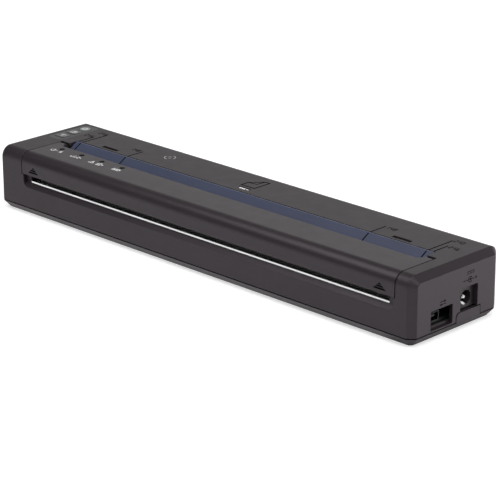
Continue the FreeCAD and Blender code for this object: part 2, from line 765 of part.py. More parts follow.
def upper_case():
    shell = body_form(0, SEAM_Z).cut(body_form(WALL, SEAM_Z - OVERRUN))
    wall_y = guide_wall_y()
    cover_gap_half = COVER_HALF + PART_GAP
    # The cover's place, the entry strip's place, then the trough and the mouth behind it
    shell = shell.cut(slab(across(cover_gap_half), (FRONT_Y - OVERRUN, HINGE_Y + HINGE_DROP + NOTCH_GAP),
                           (COVER_LIP_Z - PART_GAP, HEIGHT + OVERRUN)))
    shell = shell.cut(slab(across(STRIP_HALF + PART_GAP), (FRONT_Y - OVERRUN, wall_y),
                           (COVER_LIP_Z - PART_GAP, HEIGHT + OVERRUN)))
    guide_wall = slab(across(STRIP_HALF + PART_GAP + OVERLAP), span(wall_y, GUIDE_WALL_THICKNESS),
                      (HEIGHT - GUIDE_WALL_DROP, HEIGHT - WALL + OVERLAP))
    mouth = slab(across(EAR_INNER), (FRONT_Y, FRONT_Y + HEAD_BAY),
                 (TROUGH_Z + TROUGH_DEPTH, COVER_LIP_Z))
    bosses = []
    for x, y in screw_places():
        bosses.append(rod_z(BOSS_RADIUS, x, y, (SEAM_Z, HEIGHT - WALL + OVERLAP)))
    collar_x = (RIGHT_X - DC_RECESS_DEPTH - DC_COLLAR_LENGTH, RIGHT_X - WALL + OVERLAP)
    collar = dc_recess(DC_COLLAR, collar_x)
    case = join([shell, guide_wall, sill(), collar] + bulkheads() + exit_plates() + bosses
                + battery_hold_ribs() + button_board_posts())
    case = case.cut(trough_cutter()).cut(mouth)
    panel_z = (HEIGHT - PANEL_THICKNESS, HEIGHT + OVERRUN)
    cutters = [panel_plate(SEAT_GAP, panel_z), usb_opening(), dc_recess(0, (collar_x[0] - OVERRUN,
                                                                            RIGHT_X + OVERRUN)),
               end_tab(SEAM_GAP, (RIGHT_X - WALL - OVERRUN, RIGHT_X + OVERRUN))]
    for index in range(KEY_COUNT):
        cutters.append(key_cap(index, KEY_GAP, (HEIGHT - WALL - OVERRUN, HEIGHT + OVERRUN)))
    for x, y in screw_places():
        cutters.append(rod_z(SCREW_RADIUS + PRESS_CLEARANCE, x, y,
                             (SEAM_Z - OVERRUN, screw_heads()[0] + SCREW_LENGTH + OVERRUN)))
    for side in (-1, 1):
        recess_x = centred(PATH_X + side * (COVER_HALF - MARK_RECESS_MARGIN), MARK_RECESS_LENGTH)
        cutters.append(slab(recess_x, span(wall_y + MARK_RECESS_SETBACK, MARK_RECESS_WIDTH),
                            (HEIGHT - MARK_RECESS_DEPTH, HEIGHT + OVERRUN)))
    pin_hole_x = (PATH_X - cover_gap_half - BULKHEAD - OVERRUN, PATH_X + cover_gap_half + BULKHEAD + OVERRUN)
    cutters.append(rod_x(HINGE_PIN_RADIUS + PRESS_CLEARANCE, pin_hole_x, HINGE_Y, HINGE_Z))
    for cutter in cutters:
        case = case.cut(cutter)
    return case


# Bottom case, battery cover, feet and screws


def foot_places():
    places = []
    for x in (LEFT_X + FOOT_INSET_X, RIGHT_X - FOOT_INSET_X + FOOT_LENGTH / 2):
        for y in (-FOOT_OFFSET_Y, FOOT_OFFSET_Y):
            places.append((x, y))
    return places


def foot_pad(place, grow, z):
    pad = slab(centred(place[0], FOOT_LENGTH + 2 * grow), centred(place[1], FOOT_WIDTH + 2 * grow), z)
    return round_edges(pad, ALONG_Z, FOOT_RADIUS + grow)


def board_screw_places():
    """Screws of the main board, on posts of the bottom case."""
    arm_y = (HEAD_REAR_Y + BATTERY_Y) / 2
    return [(BATTERY_LEFT_X + BOARD_ARM_LEFT / 2, arm_y), (BATTERY_RIGHT_X + BOARD_STEP / 2, arm_y)]


def frame_screw_places():
    middle_y = (CARRIER_FRONT_Y + HEAD_REAR_Y) / 2
    return [(PATH_X + share * HEAD_HALF, middle_y) for share in (-2 / 3, 2 / 3)]


def post(place, size, z):
    return slab(centred(place[0], size), centred(place[1], size), z)


def frame_ribs():
    """Ribs on the floor that carry the head frame."""
    ribs = []
    for share in (-5 / 6, -1 / 3, 1 / 3, 5 / 6):
        ribs.append(slab(centred(PATH_X + share * HEAD_HALF, RIB_THICKNESS),
                         (CARRIER_FRONT_Y, HEAD_REAR_Y - FRAME_THICKNESS),
                         (FLOOR_Z - OVERLAP, FRAME_BASE_Z)))
    return ribs


def bottom_case():
    case = tray().cut(bay_region(0, HEIGHT, 0))
    towers = [post(place, TOWER_SIZE, (FOOT_PROUD, SEAM_Z - SEAT_GAP)) for place in screw_places()]
    body = plan_solid(BOTTOM_TAPER, FOOT_PROUD, TONGUE_INSET, SEAM_Z)
    towers = [tower.common(body) for tower in towers]
    posts = [post(place, POST_SIZE, (FLOOR_Z - OVERLAP, BOARD_Z)) for place in board_screw_places()]
    posts += [post(place, POST_SIZE, (FLOOR_Z - OVERLAP, FRAME_BASE_Z)) for place in frame_screw_places()]
    bay_rib = slab((BAY_LEFT_X, BAY_RIGHT_X), (BAY_FRONT_Y - BAY_RIB, BAY_FRONT_Y),
                   (FLOOR_Z - OVERLAP, FLOOR_Z + BAY_RIB_HEIGHT))
    tab = end_tab(0, (RIGHT_X - WALL, RIGHT_X))
    neck = slab((RIGHT_X - TONGUE_INNER, RIGHT_X),
                span(FRONT_Y + END_TAB_FRONT, END_TAB_WIDTH), (SEAM_Z - SEAM_GAP - OVERLAP, SEAM_Z))
    case = join([case, bay_rib, tab, neck] + towers + posts + frame_ribs())
    head_z = screw_heads()
    cutters = []
    for x, y in screw_places():
        cutters.append(rod_z(SCREW_HEAD_RADIUS + PART_GAP, x, y, (0, head_z[1])))
        cutters.append(rod_z(SCREW_RADIUS + PIN_CLEARANCE, x, y, (0, SEAM_Z + OVERRUN)))
    for place in foot_places():
        cutters.append(foot_pad(place, SEAT_GAP, (0, FOOT_PROUD + FOOT_RECESS)))
    for x, y in board_screw_places():
        cutters.append(rod_z(CHASSIS_SCREW_RADIUS + PRESS_CLEARANCE, x, y,
                             (BOARD_TOP_Z - CHASSIS_SCREW_LENGTH - SEAT_GAP, HEIGHT)))
    for x, y in frame_screw_places():
        cutters.append(rod_z(CHASSIS_SCREW_RADIUS + PRESS_CLEARANCE, x, y,
                             (FRAME_TOP_Z - CHASSIS_SCREW_LENGTH - SEAT_GAP, HEIGHT)))
    for cutter in cutters:
        case = case.cut(cutter)
    return case


def battery_cover():
    door = tray().common(bay_region(0, TONGUE_TOP_Z + OVERRUN, -PART_GAP))
    ribs = []
    length = BATTERY_RIGHT_X - BATTERY_LEFT_X
    for index in range(DOOR_RIB_COUNT):
        x = BATTERY_LEFT_X + length * (index + 1) / (DOOR_RIB_COUNT + 1)
        ribs.append(slab(centred(x, DOOR_RIB_THICKNESS), (BATTERY_Y, REAR_Y - FLOOR_INSET + OVERLAP),
                         (FLOOR_Z - OVERLAP, BATTERY_Z - SEAT_GAP)))
    door = join([door] + ribs)
    middle = (BAY_LEFT_X + BAY_RIGHT_X) / 2
    grip_y = (BAY_FRONT_Y + REAR_Y - BOTTOM_TAPER) / 2
    for index in range(DOOR_GRIP_COUNT):
        y = grip_y + (index - (DOOR_GRIP_COUNT - 1) / 2) * DOOR_GRIP_PITCH
        door = door.cut(slab(centred(middle, DOOR_GRIP_LENGTH), centred(y, DOOR_GRIP_WIDTH),
                             (0, FOOT_PROUD + DOOR_GRIP_DEPTH)))
    return door


def rubber_feet():
    return group([foot_pad(place, 0, (0, FOOT_PROUD + FOOT_RECESS)) for place in foot_places()])


def case_screws():
    head_z = screw_heads()
    screws = []
    for x, y in screw_places():
        head = rod_z(SCREW_HEAD_RADIUS, x, y, head_z)
        shank = rod_z(SCREW_RADIUS, x, y, (head_z[0], head_z[0] + SCREW_LENGTH))
        screws.append(join([head, shank]))
    return group(screws)


# Entry strip, chute and exit bar


def entry_strip():
    knee_y = STRIP_REAR_Y - STRIP_FLAT
    front_z = strip_surface_z(STRIP_FRONT_Y)
    outline = [(STRIP_REAR_Y, HEIGHT), (knee_y, HEIGHT), (STRIP_FRONT_Y, front_z),
               (STRIP_FRONT_Y, front_z - STRIP_THICKNESS), (knee_y, HEIGHT - STRIP_THICKNESS),
               (STRIP_REAR_Y, HEIGHT - STRIP_THICKNESS)]
    return prism_x(outline, across(STRIP_HALF))


def chute_top_z(y):
    return strip_surface_z(y) - STRIP_THICKNESS - SEAT_GAP


def paper_chute():
    """Ribbed carrier of the entry strip, flanged to the wall below the deck."""
    knee_y = STRIP_REAR_Y - STRIP_FLAT
    back_y = guide_wall_y() - SEAT_GAP
    flange_y = back_y - CHUTE_FLANGE
    low_z = HEIGHT - CHUTE_DROP
    top_z = chute_top_z(knee_y)
    front_z = chute_top_z(STRIP_FRONT_Y)
    outline = [(back_y, top_z), (knee_y, top_z), (STRIP_FRONT_Y, front_z),
               (STRIP_FRONT_Y, front_z - CHUTE_THICKNESS),
               (flange_y, chute_top_z(flange_y) - CHUTE_THICKNESS), (flange_y, low_z), (back_y, low_z)]
    pieces = [prism_x(outline, across(CHUTE_HALF))]
    rib = [(flange_y + OVERLAP, chute_top_z(flange_y) - CHUTE_THICKNESS / 2),
           (STRIP_FRONT_Y / 2, chute_top_z(STRIP_FRONT_Y / 2) - CHUTE_THICKNESS / 2),
           (flange_y + OVERLAP, low_z)]
    for index in range(CHUTE_RIB_COUNT):
        x = PATH_X + CHUTE_HALF * (2 * index / (CHUTE_RIB_COUNT - 1) - 1) * (1 - 1 / CHUTE_RIB_COUNT)
        pieces.append(prism_x(rib, centred(x, CHUTE_RIB_THICKNESS)))
    return join(pieces)


def exit_bar():
    """Bright bent bar along the paper exit, standing on the sill's ledge."""
    front_y = FRONT_Y + TROUGH_DEPTH
    low_z = TROUGH_Z + TROUGH_DEPTH + SEAT_GAP
    leg_y = (front_y + SILL_LEDGE + SEAT_GAP, front_y + SILL_LEDGE + SEAT_GAP + BAR_LEG_THICKNESS)
    x = across(EAR_INNER - SEAT_GAP)
    top = slab(x, span(front_y, BAR_DEPTH), span(low_z, BAR_THICKNESS))
    leg = slab(x, leg_y, (low_z - BAR_LEG_DROP, low_z + BAR_THICKNESS))
    return join([top, leg])


# Release cover with its pins and lamps


def cover_plan():
    """Plan of the cover: straight sides, ears at the rear corners and slants down to the rear edge."""
    half = [(COVER_END, FRONT_Y - OVERRUN), (COVER_END, HINGE_Y), (EAR_INNER, HINGE_Y),
            (EAR_INNER, COVER_REAR_Y + EAR_SLANT), (COVER_REAR_HALF, COVER_REAR_Y)]
    outline = [(PATH_X + x, y) for x, y in half]
    return outline + [(PATH_X - x, y) for x, y in reversed(half)]


def cheek(x):
    """Plate below the cover that holds one platen bush."""
    top_z = HEIGHT - COVER_WALL + OVERLAP
    plate = [(PLATEN_Y - CHEEK_RADIUS, PLATEN_Z), (PLATEN_Y - CHEEK_FRONT, top_z),
             (PLATEN_Y + CHEEK_REAR, top_z), (PLATEN_Y + CHEEK_RADIUS, PLATEN_Z)]
    return join([prism_x(plate, x), rod_x(CHEEK_RADIUS, x, PLATEN_Y, PLATEN_Z)])


def indicator_x(index):
    return PATH_X - COVER_HALF + INDICATOR_MARGIN + index * INDICATOR_PITCH


def indicator_board_places():
    x = span(indicator_x(0) - INDICATOR_BOARD_MARGIN, INDICATOR_BOARD_LENGTH)
    y = span(INDICATOR_BOARD_FRONT_Y, INDICATOR_BOARD_WIDTH)
    top_z = HEIGHT - COVER_WALL - LENS_FLANGE - SEAT_GAP - LAMP_HEIGHT
    return x, y, (top_z - INDICATOR_BOARD_THICKNESS, top_z)


def release_cover():
    region = prism_z(cover_plan(), (COVER_LIP_Z, HEIGHT + OVERRUN))
    shell = body_form(0, COVER_LIP_Z).cut(body_form(COVER_WALL, COVER_LIP_Z - OVERRUN)).common(region)
    under_z = HEIGHT - COVER_WALL + OVERLAP
    pieces = [shell]
    for x in (left(COVER_END, EAR_INNER), right(EAR_INNER, COVER_END)):
        pieces.append(rod_x(HINGE_DROP, x, HINGE_Y, HINGE_Z))
    pieces.append(slab(across(COVER_REAR_HALF), (COVER_REAR_Y - REAR_LIP_THICKNESS, COVER_REAR_Y),
                       (HEIGHT - REAR_LIP_DROP, under_z)))
    pieces.append(cheek(left(CHEEK_OUTER, CHEEK_INNER)))
    pieces.append(cheek(right(CHEEK_INNER, CHEEK_OUTER)))
    for index in range(RIB_COUNT):
        x = PATH_X + RUBBER_HALF * (2 * index / (RIB_COUNT - 1) - 1)
        pieces.append(slab(centred(x, RIB_THICKNESS),
                           (FRONT_Y + COVER_WALL - OVERLAP, FRONT_Y + COVER_WALL + RIB_DEPTH),
                           span(COVER_LIP_Z + RIB_RISE, RIB_HEIGHT)))
    board_x, board_y, board_z = indicator_board_places()
    for x in (indicator_x(0) + INDICATOR_PITCH / 2, indicator_x(2) + INDICATOR_PITCH / 2):
        pieces.append(slab(centred(x, INDICATOR_POST), centred(sum(board_y) / 2, INDICATOR_POST),
                           (board_z[1], under_z)))
    post_x = PATH_X + COVER_HALF + PART_GAP - SEAT_GAP - COVER_SWITCH_WIDTH / 2
    pieces.append(rod_z(COVER_POST_RADIUS, post_x, COVER_SWITCH_Y,
                        (COVER_SWITCH_TOP_Z + COVER_SWITCH_PLUNGER + PART_GAP, under_z)))
    cover = join(pieces)
    bore_x = across(COVER_HALF + OVERRUN)
    hinge_bore = rod_x(BORE_RADIUS, bore_x, HINGE_Y, HINGE_Z)
    keep = slab(across(EAR_INNER - OVERLAP), (HINGE_Y - HINGE_DROP, HINGE_Y + HINGE_DROP), (0, HEIGHT))
    cover = cover.cut(hinge_bore.cut(keep))
    cover = cover.cut(rod_x(BUSH_RADIUS + PRESS_CLEARANCE, bore_x, PLATEN_Y, PLATEN_Z))
    for index in range(INDICATOR_COUNT):
        cover = cover.cut(rod_z(LENS_RADIUS + SEAT_GAP, indicator_x(index), INDICATOR_Y,
                                (HEIGHT - COVER_WALL - OVERRUN, HEIGHT + OVERRUN)))
    return cover


def hinge_pins():
    inner = COVER_HALF - HINGE_PIN_INNER
    outer = COVER_HALF + PART_GAP + HINGE_PIN_OUTER
    return group([rod_x(HINGE_PIN_RADIUS, x, HINGE_Y, HINGE_Z)
                  for x in (left(outer, inner), right(inner, outer))])


def indicator_lenses():
    lenses = []
    under_z = HEIGHT - COVER_WALL
    for index in range(INDICATOR_COUNT):
        x = indicator_x(index)
        window = rod_z(LENS_RADIUS, x, INDICATOR_Y, (under_z - LENS_FLANGE, HEIGHT - SEAT_GAP))
        flange = slab(centred(x, LENS_FLANGE_WIDTH), centred(INDICATOR_Y, LENS_FLANGE_WIDTH),
                      (under_z - LENS_FLANGE, under_z))
        lenses.append(join([window, flange]))
    return group(lenses)


def indicator_board():
    x, y, z = indicator_board_places()
    pieces = [slab(x, y, z)]
    for index in range(INDICATOR_COUNT):
        pieces.append(slab(centred(indicator_x(index), LAMP_LENGTH), centred(INDICATOR_Y, LAMP_WIDTH),
                           (z[1], z[1] + LAMP_HEIGHT)))
    return join(pieces)


# Platen roller


def platen_rubber():
    x = across(RUBBER_HALF)
    return rod_x(PLATEN_RADIUS, x, PLATEN_Y, PLATEN_Z).cut(rod_x(SHAFT_RADIUS, x, PLATEN_Y, PLATEN_Z))


def platen_shaft():
    x = (PATH_X - GEAR_A_OUTER - SHAFT_END_GAP, PATH_X + CHEEK_OUTER + SHAFT_RIGHT_END)
    return rod_x(SHAFT_RADIUS, x, PLATEN_Y, PLATEN_Z)


def platen_bushes():
    bushes = []
    for x, flange_x in ((left(CHEEK_OUTER, CHEEK_INNER), left(CHEEK_INNER, CHEEK_INNER - BUSH_FLANGE)),
                        (right(CHEEK_INNER, CHEEK_OUTER), right(CHEEK_INNER - BUSH_FLANGE, CHEEK_INNER))):
        ring = join([rod_x(BUSH_RADIUS, x, PLATEN_Y, PLATEN_Z),
                     rod_x(BUSH_FLANGE_RADIUS, flange_x, PLATEN_Y, PLATEN_Z)])
        bore = rod_x(SHAFT_RADIUS + PIN_CLEARANCE, (x[0] - OVERRUN, x[1] + OVERRUN), PLATEN_Y, PLATEN_Z)
        bushes.append(ring.cut(bore))
    return group(bushes)


# Gear train


def beside(centre, bearing, distance):
    return (centre[0] + distance * math.cos(bearing), centre[1] + distance * math.sin(bearing))


def gear_distance(teeth_a, teeth_b):
    return MODULE * (teeth_a + teeth_b) / 2 + CENTRE_EXTRA


PLATEN_CENTRE = (PLATEN_Y, PLATEN_Z)
IDLER_CENTRE = beside(PLATEN_CENTRE, IDLER_BEARING, gear_distance(PLATEN_TEETH, IDLER_TEETH))
COMPOUND_CENTRE = beside(IDLER_CENTRE, COMPOUND_BEARING, gear_distance(IDLER_TEETH, COMPOUND_SMALL_TEETH))
MOTOR_CENTRE = beside(COMPOUND_CENTRE, MOTOR_BEARING, gear_distance(COMPOUND_LARGE_TEETH, PINION_TEETH))


def mesh_phase(phase, teeth, bearing, next_teeth):
    """Angle of a tooth of the next gear, so that its gap meets a tooth of this one at bearing."""
    pitch = 2 * math.pi / teeth
    next_pitch = 2 * math.pi / next_teeth
    lag_share = ((bearing - phase) / pitch) % 1.0
    return bearing + math.pi + (lag_share + HALF_SHARE) * next_pitch


PLATEN_PHASE = IDLER_BEARING
IDLER_PHASE = mesh_phase(PLATEN_PHASE, PLATEN_TEETH, IDLER_BEARING, IDLER_TEETH)
COMPOUND_PHASE = mesh_phase(IDLER_PHASE, IDLER_TEETH, COMPOUND_BEARING, COMPOUND_SMALL_TEETH)
PINION_PHASE = mesh_phase(COMPOUND_PHASE, COMPOUND_LARGE_TEETH, MOTOR_BEARING, PINION_TEETH)


def gear(teeth, x, centre, phase):
    """Spur gear along X; each tooth has straight flanks through its root, pitch and tip widths."""
    pitch_radius = MODULE * teeth / 2
    radii = (pitch_radius - ROOT_SHARE * MODULE, pitch_radius, pitch_radius + TIP_SHARE * MODULE)
    pitch = 2 * math.pi / teeth
    outline = []
    for index in range(teeth):
        middle = phase + index * pitch
        flank = list(zip(radii, TOOTH_SHARES))
        for radius, share in flank:
            outline.append(beside(centre, middle - share * pitch, radius))
        for radius, share in reversed(flank):
            outline.append(beside(centre, middle + share * pitch, radius))
    return prism_x(outline, x)


def bored(shape, radius, x, centre):
    return shape.cut(rod_x(radius, (x[0] - OVERRUN, x[1] + OVERRUN), centre[0], centre[1]))


def platen_gear():
    x = left(GEAR_A_OUTER, GEAR_A_INNER)
    return bored(gear(PLATEN_TEETH, x, PLATEN_CENTRE, PLATEN_PHASE), SHAFT_RADIUS, x, PLATEN_CENTRE)


def idler_gear():
    x = left(GEAR_A_OUTER, GEAR_A_INNER)
    hub_x = left(GEAR_A_INNER, PLATE_OUTER + PART_GAP)
    whole = join([gear(IDLER_TEETH, x, IDLER_CENTRE, IDLER_PHASE),
                  rod_x(AXLE_HEAD_RADIUS, hub_x, *IDLER_CENTRE)])
    return bored(whole, AXLE_RADIUS + PIN_CLEARANCE, (x[0], hub_x[1]), IDLER_CENTRE)


def compound_gear():
    small_x = left(GEAR_A_OUTER, GEAR_B_OUTER)
    large_x = left(GEAR_B_OUTER, GEAR_B_INNER)
    hub_x = left(GEAR_B_INNER, PLATE_OUTER + PART_GAP)
    whole = join([gear(COMPOUND_SMALL_TEETH, small_x, COMPOUND_CENTRE, COMPOUND_PHASE),
                  gear(COMPOUND_LARGE_TEETH, large_x, COMPOUND_CENTRE, COMPOUND_PHASE),
                  rod_x(AXLE_HEAD_RADIUS, hub_x, *COMPOUND_CENTRE)])
    return bored(whole, AXLE_RADIUS + PIN_CLEARANCE, (small_x[0], hub_x[1]), COMPOUND_CENTRE)


def motor_pinion():
    x = left(GEAR_B_OUTER, GEAR_B_INNER)
    return bored(gear(PINION_TEETH, x, MOTOR_CENTRE, PINION_PHASE), MOTOR_SHAFT_RADIUS, x, MOTOR_CENTRE)


def motor_shaft():
    return rod_x(MOTOR_SHAFT_RADIUS, left(GEAR_B_OUTER, PLATE_INNER - MOTOR_SHAFT_INSIDE), *MOTOR_CENTRE)


def gear_axles():
    axles = []
    for centre in (IDLER_CENTRE, COMPOUND_CENTRE):
        shank = rod_x(AXLE_RADIUS, left(GEAR_A_OUTER + SEAT_GAP, PLATE_INNER), *centre)
        head = rod_x(AXLE_HEAD_RADIUS, left(GEAR_A_OUTER + SEAT_GAP + AXLE_HEAD / 2, GEAR_A_OUTER + SEAT_GAP),
                     *centre)
        axles.append(join([shank, head]))
    return group(axles)


def gear_plate():
    """Steel side plate with the axles, the motor and the left pivot of the thermal head."""
    x = left(PLATE_OUTER, PLATE_INNER)
    front_y = CARRIER_FRONT_Y + FRAME_THICKNESS
    head_y = IDLER_CENTRE[0] - AXLE_HEAD_RADIUS - FRAME_THICKNESS
    low_top_z = IDLER_CENTRE[1] + AXLE_HEAD_RADIUS + PART_GAP
    step_y = COMPOUND_CENTRE[0] - COMPOUND_LARGE_TEETH * MODULE / 3
    high_z = COMPOUND_CENTRE[1] + AXLE_HEAD_RADIUS + PART_GAP
    rear_y = MOTOR_CENTRE[0] + MOTOR_RADIUS
    outline = [(front_y, FRAME_BASE_Z), (front_y, FRAME_BASE_Z + FRAME_LIP), (head_y, PIVOT_Z),
               (head_y, low_top_z), (step_y - FRAME_THICKNESS, low_top_z), (step_y, high_z),
               (COMPOUND_CENTRE[0] + AXLE_HEAD_RADIUS + FRAME_THICKNESS, high_z),
               (rear_y, MOTOR_CENTRE[1]), (rear_y, FRAME_BASE_Z)]
    plate = prism_x(outline, x)
    for centre in (IDLER_CENTRE, COMPOUND_CENTRE):
        plate = bored(plate, AXLE_RADIUS + PRESS_CLEARANCE, x, centre)
    plate = bored(plate, PIVOT_RADIUS + PRESS_CLEARANCE, x, (PIVOT_Y, PIVOT_Z))
    return bored(plate, MOTOR_NOSE_RADIUS + PIN_CLEARANCE, x, MOTOR_CENTRE)


def feed_motor():
    x = left(PLATE_INNER, PLATE_INNER - MOTOR_LENGTH)
    can = rod_x(MOTOR_RADIUS - MOTOR_BAND_PROUD, x, *MOTOR_CENTRE)
    band = rod_x(MOTOR_RADIUS, (x[1] - MOTOR_BAND, x[1]), *MOTOR_CENTRE)
    nose = rod_x(MOTOR_NOSE_RADIUS, (x[0] - MOTOR_NOSE + SEAT_GAP, x[0]), *MOTOR_CENTRE)
    tab = slab(span(x[1] - MOTOR_TAB_LENGTH - MOTOR_BAND, MOTOR_TAB_LENGTH),
               centred(MOTOR_CENTRE[0], MOTOR_TAB_WIDTH),
               span(MOTOR_CENTRE[1] + MOTOR_RADIUS - OVERRUN, MOTOR_TAB_HEIGHT))
    motor = join([can, nose, tab, band])
    bore_x = (x[0] - MOTOR_NOSE - OVERRUN, x[0] + MOTOR_SHAFT_INSIDE + PART_GAP)
    return motor.cut(rod_x(MOTOR_SHAFT_RADIUS + PIN_CLEARANCE, bore_x, *MOTOR_CENTRE))


# Thermal head


def thermal_head():
    y = (CARRIER_FRONT_Y + HEAD_FRONT_MARGIN, HEAD_REAR_Y - HEAD_REAR_MARGIN)
    plate = slab(across(HEAD_HALF), y, (CARRIER_TOP_Z, HEAD_TOP_Z))
    cover = slab(across(HEAD_HALF), (y[1] - DRIVER_WIDTH, y[1]), (HEAD_TOP_Z - OVERLAP,
                                                                HEAD_TOP_Z + DRIVER_HEIGHT))
    return join([plate, cover])


def head_carrier():
    """Aluminium extrusion: a flat top with a front fin and a thicker rear fin bored for the pivots."""
    x = across(CARRIER_HALF)
    fin_y = CARRIER_FRONT_Y + CARRIER_FIN_INSET
    low_z = CARRIER_UNDERSIDE_Z - HEAD_SPACE * CARRIER_FIN_SHARE
    hub_z = CARRIER_TOP_Z - HEAD_SPACE * CARRIER_HUB_SHARE
    hub_y = HEAD_REAR_Y - CARRIER_HUB_WIDTH
    outline = [(CARRIER_FRONT_Y, CARRIER_TOP_Z), (CARRIER_FRONT_Y, CARRIER_UNDERSIDE_Z),
               (fin_y, CARRIER_UNDERSIDE_Z), (fin_y, low_z), (fin_y + CARRIER_FIN, low_z),
               (fin_y + CARRIER_FIN, CARRIER_UNDERSIDE_Z), (hub_y, CARRIER_UNDERSIDE_Z), (hub_y, hub_z),
               (HEAD_REAR_Y, hub_z), (HEAD_REAR_Y, CARRIER_TOP_Z)]
    carrier = prism_x(outline, x)
    for bore_x in ((x[0] - OVERRUN, x[0] + PIVOT_BORE_DEPTH), (x[1] - PIVOT_BORE_DEPTH, x[1] + OVERRUN)):
        carrier = carrier.cut(rod_x(PIVOT_RADIUS + PIN_CLEARANCE, bore_x, PIVOT_Y, PIVOT_Z))
    return carrier


def head_pivot_pins():
    left_x = left(PLATE_OUTER - SEAT_GAP, CARRIER_HALF - PIVOT_DEPTH)
    right_x = right(CARRIER_HALF - PIVOT_DEPTH, FRAME_END + FRAME_THICKNESS)
    return group([rod_x(PIVOT_RADIUS, x, PIVOT_Y, PIVOT_Z) for x in (left_x, right_x)])


def head_frame():
    """Bent steel channel below the head, with its right end turned up as a side plate."""
    front_y = CARRIER_FRONT_Y - FRAME_FRONT_MARGIN
    rear_y = HEAD_REAR_Y + FRAME_REAR_MARGIN
    x = (PATH_X - PLATE_INNER, PATH_X + FRAME_END + FRAME_THICKNESS)
    lip_z = FRAME_BASE_Z + FRAME_LIP
    base = slab(x, (front_y, rear_y), (FRAME_BASE_Z, FRAME_TOP_Z))
    front_lip = slab(x, span(front_y, FRAME_THICKNESS), (FRAME_BASE_Z, lip_z))
    rear_lip = slab(x, (rear_y - FRAME_THICKNESS, rear_y), (FRAME_BASE_Z, lip_z))
    end = slab(right(FRAME_END, FRAME_END + FRAME_THICKNESS), (front_y, rear_y),
               (FRAME_BASE_Z, FRAME_END_TOP_Z))
    end = round_edges(end, ALONG_X, CARRIER_HUB_WIDTH, lambda middle: middle.z > lip_z)
    frame = join([base, front_lip, rear_lip, end])
    hole_x = right(FRAME_END - OVERRUN, FRAME_END + FRAME_THICKNESS + OVERRUN)
    frame = frame.cut(rod_x(PIVOT_RADIUS + PRESS_CLEARANCE, hole_x, PIVOT_Y, PIVOT_Z))
    for place in frame_screw_places():
        frame = frame.cut(rod_z(CHASSIS_SCREW_RADIUS + PIN_CLEARANCE, *place, (0, FRAME_TOP_Z + OVERRUN)))
    return frame


def spring_x(index):
    return PATH_X + HEAD_HALF * (2 * (index + 1) / (SPRING_COUNT + 1) - 1) * SPRING_SPREAD_SHARE


def head_springs():
    """Folded leaf springs between the frame and the carrier's underside."""
    foot_y = CARRIER_FRONT_Y + CARRIER_FIN_INSET + CARRIER_FIN + SPRING_THICKNESS
    low_z = FRAME_TOP_Z
    top_z = CARRIER_UNDERSIDE_Z - SEAT_GAP
    bend_y = foot_y + SPRING_FOOT
    bend_z = top_z - (top_z - low_z) * SPRING_BEND_SHARE
    thick = SPRING_THICKNESS
    outline = [(foot_y, low_z), (bend_y, low_z), (bend_y, low_z + thick), (foot_y + thick * 2, low_z + thick),
               (bend_y, bend_z), (foot_y + thick * 3, top_z), (foot_y + thick, top_z),
               (bend_y - thick * 2, bend_z), (foot_y, low_z + thick)]
    return group([prism_x(outline, centred(spring_x(index), SPRING_WIDTH)) for index in range(SPRING_COUNT)])


# Battery


def battery_pack():
    x = (BATTERY_LEFT_X, BATTERY_RIGHT_X)
    stick = slab(x, span(BATTERY_Y, BATTERY_SIZE), span(BATTERY_Z, BATTERY_SIZE))
    stick = round_edges(stick, ALONG_X, BATTERY_RADIUS)
    step = BATTERY_CAP_STEP
    band_x = (x[0] + BATTERY_CAP, x[1] - BATTERY_CAP)
    frame = slab(band_x, (BATTERY_Y - OVERRUN, BATTERY_Y + BATTERY_SIZE + OVERRUN),
                 (BATTERY_Z - OVERRUN, BATTERY_Z + BATTERY_SIZE + OVERRUN))
    core = slab((band_x[0] - OVERRUN, band_x[1] + OVERRUN), span(BATTERY_Y + step, BATTERY_SIZE - 2 * step),
                span(BATTERY_Z + step, BATTERY_SIZE - 2 * step))
    core = round_edges(core, ALONG_X, BATTERY_RADIUS - step)
    return stick.cut(frame.cut(core))


def contact_centre_y():
    return BATTERY_Y + BATTERY_SIZE / 2 - OVERRUN


def battery_contacts():
    """Terminal block on the main board with blades that touch the battery's end."""
    x = (BATTERY_RIGHT_X + BOARD_CLEAR + CONTACT_BLADE_REACH, BATTERY_RIGHT_X + CONTACT_LENGTH)
    y = contact_centre_y()
    block = slab(x, centred(y, CONTACT_WIDTH), span(BOARD_TOP_Z, CONTACT_HEIGHT))
    pieces = [block]
    for index in range(CONTACT_BLADE_COUNT):
        blade_y = y + (index - (CONTACT_BLADE_COUNT - 1) / 2) * CONTACT_BLADE_PITCH
        pieces.append(slab((BATTERY_RIGHT_X + BOARD_CLEAR, x[0] + OVERLAP), centred(blade_y, CONTACT_BLADE),
                           span(BOARD_TOP_Z + CONTACT_BLADE, CONTACT_BLADE_HEIGHT)))
    return join(pieces)


# Main board


def board_plan():
    """Plan of the board: a long arm beside the battery and a wide end under the sockets."""
    arm_y = (HEAD_REAR_Y + BOARD_ARM_FRONT, BATTERY_Y - BOARD_ARM_REAR)
    end_x = RIGHT_X - BOARD_END
    step_x = PATH_X + FRAME_END + FRAME_THICKNESS + BOARD_CLEAR
    arm_end_x = BATTERY_RIGHT_X + BOARD_CLEAR
    front_y = FRONT_Y + BOARD_FRONT
    rear_y = REAR_Y - BOARD_REAR
    arm_x = LEFT_X + BOARD_ARM_LEFT
    return [(arm_x, arm_y[0]), (step_x, arm_y[0]), (step_x, front_y), (end_x, front_y), (end_x, rear_y),
            (arm_end_x, rear_y), (arm_end_x, arm_y[1]), (arm_x, arm_y[1])]


def main_board():
    board = prism_z(board_plan(), (BOARD_Z, BOARD_TOP_Z))
    for place in board_screw_places():
        board = board.cut(rod_z(CHASSIS_SCREW_RADIUS + PIN_CLEARANCE, *place, (0, HEIGHT)))
    return board


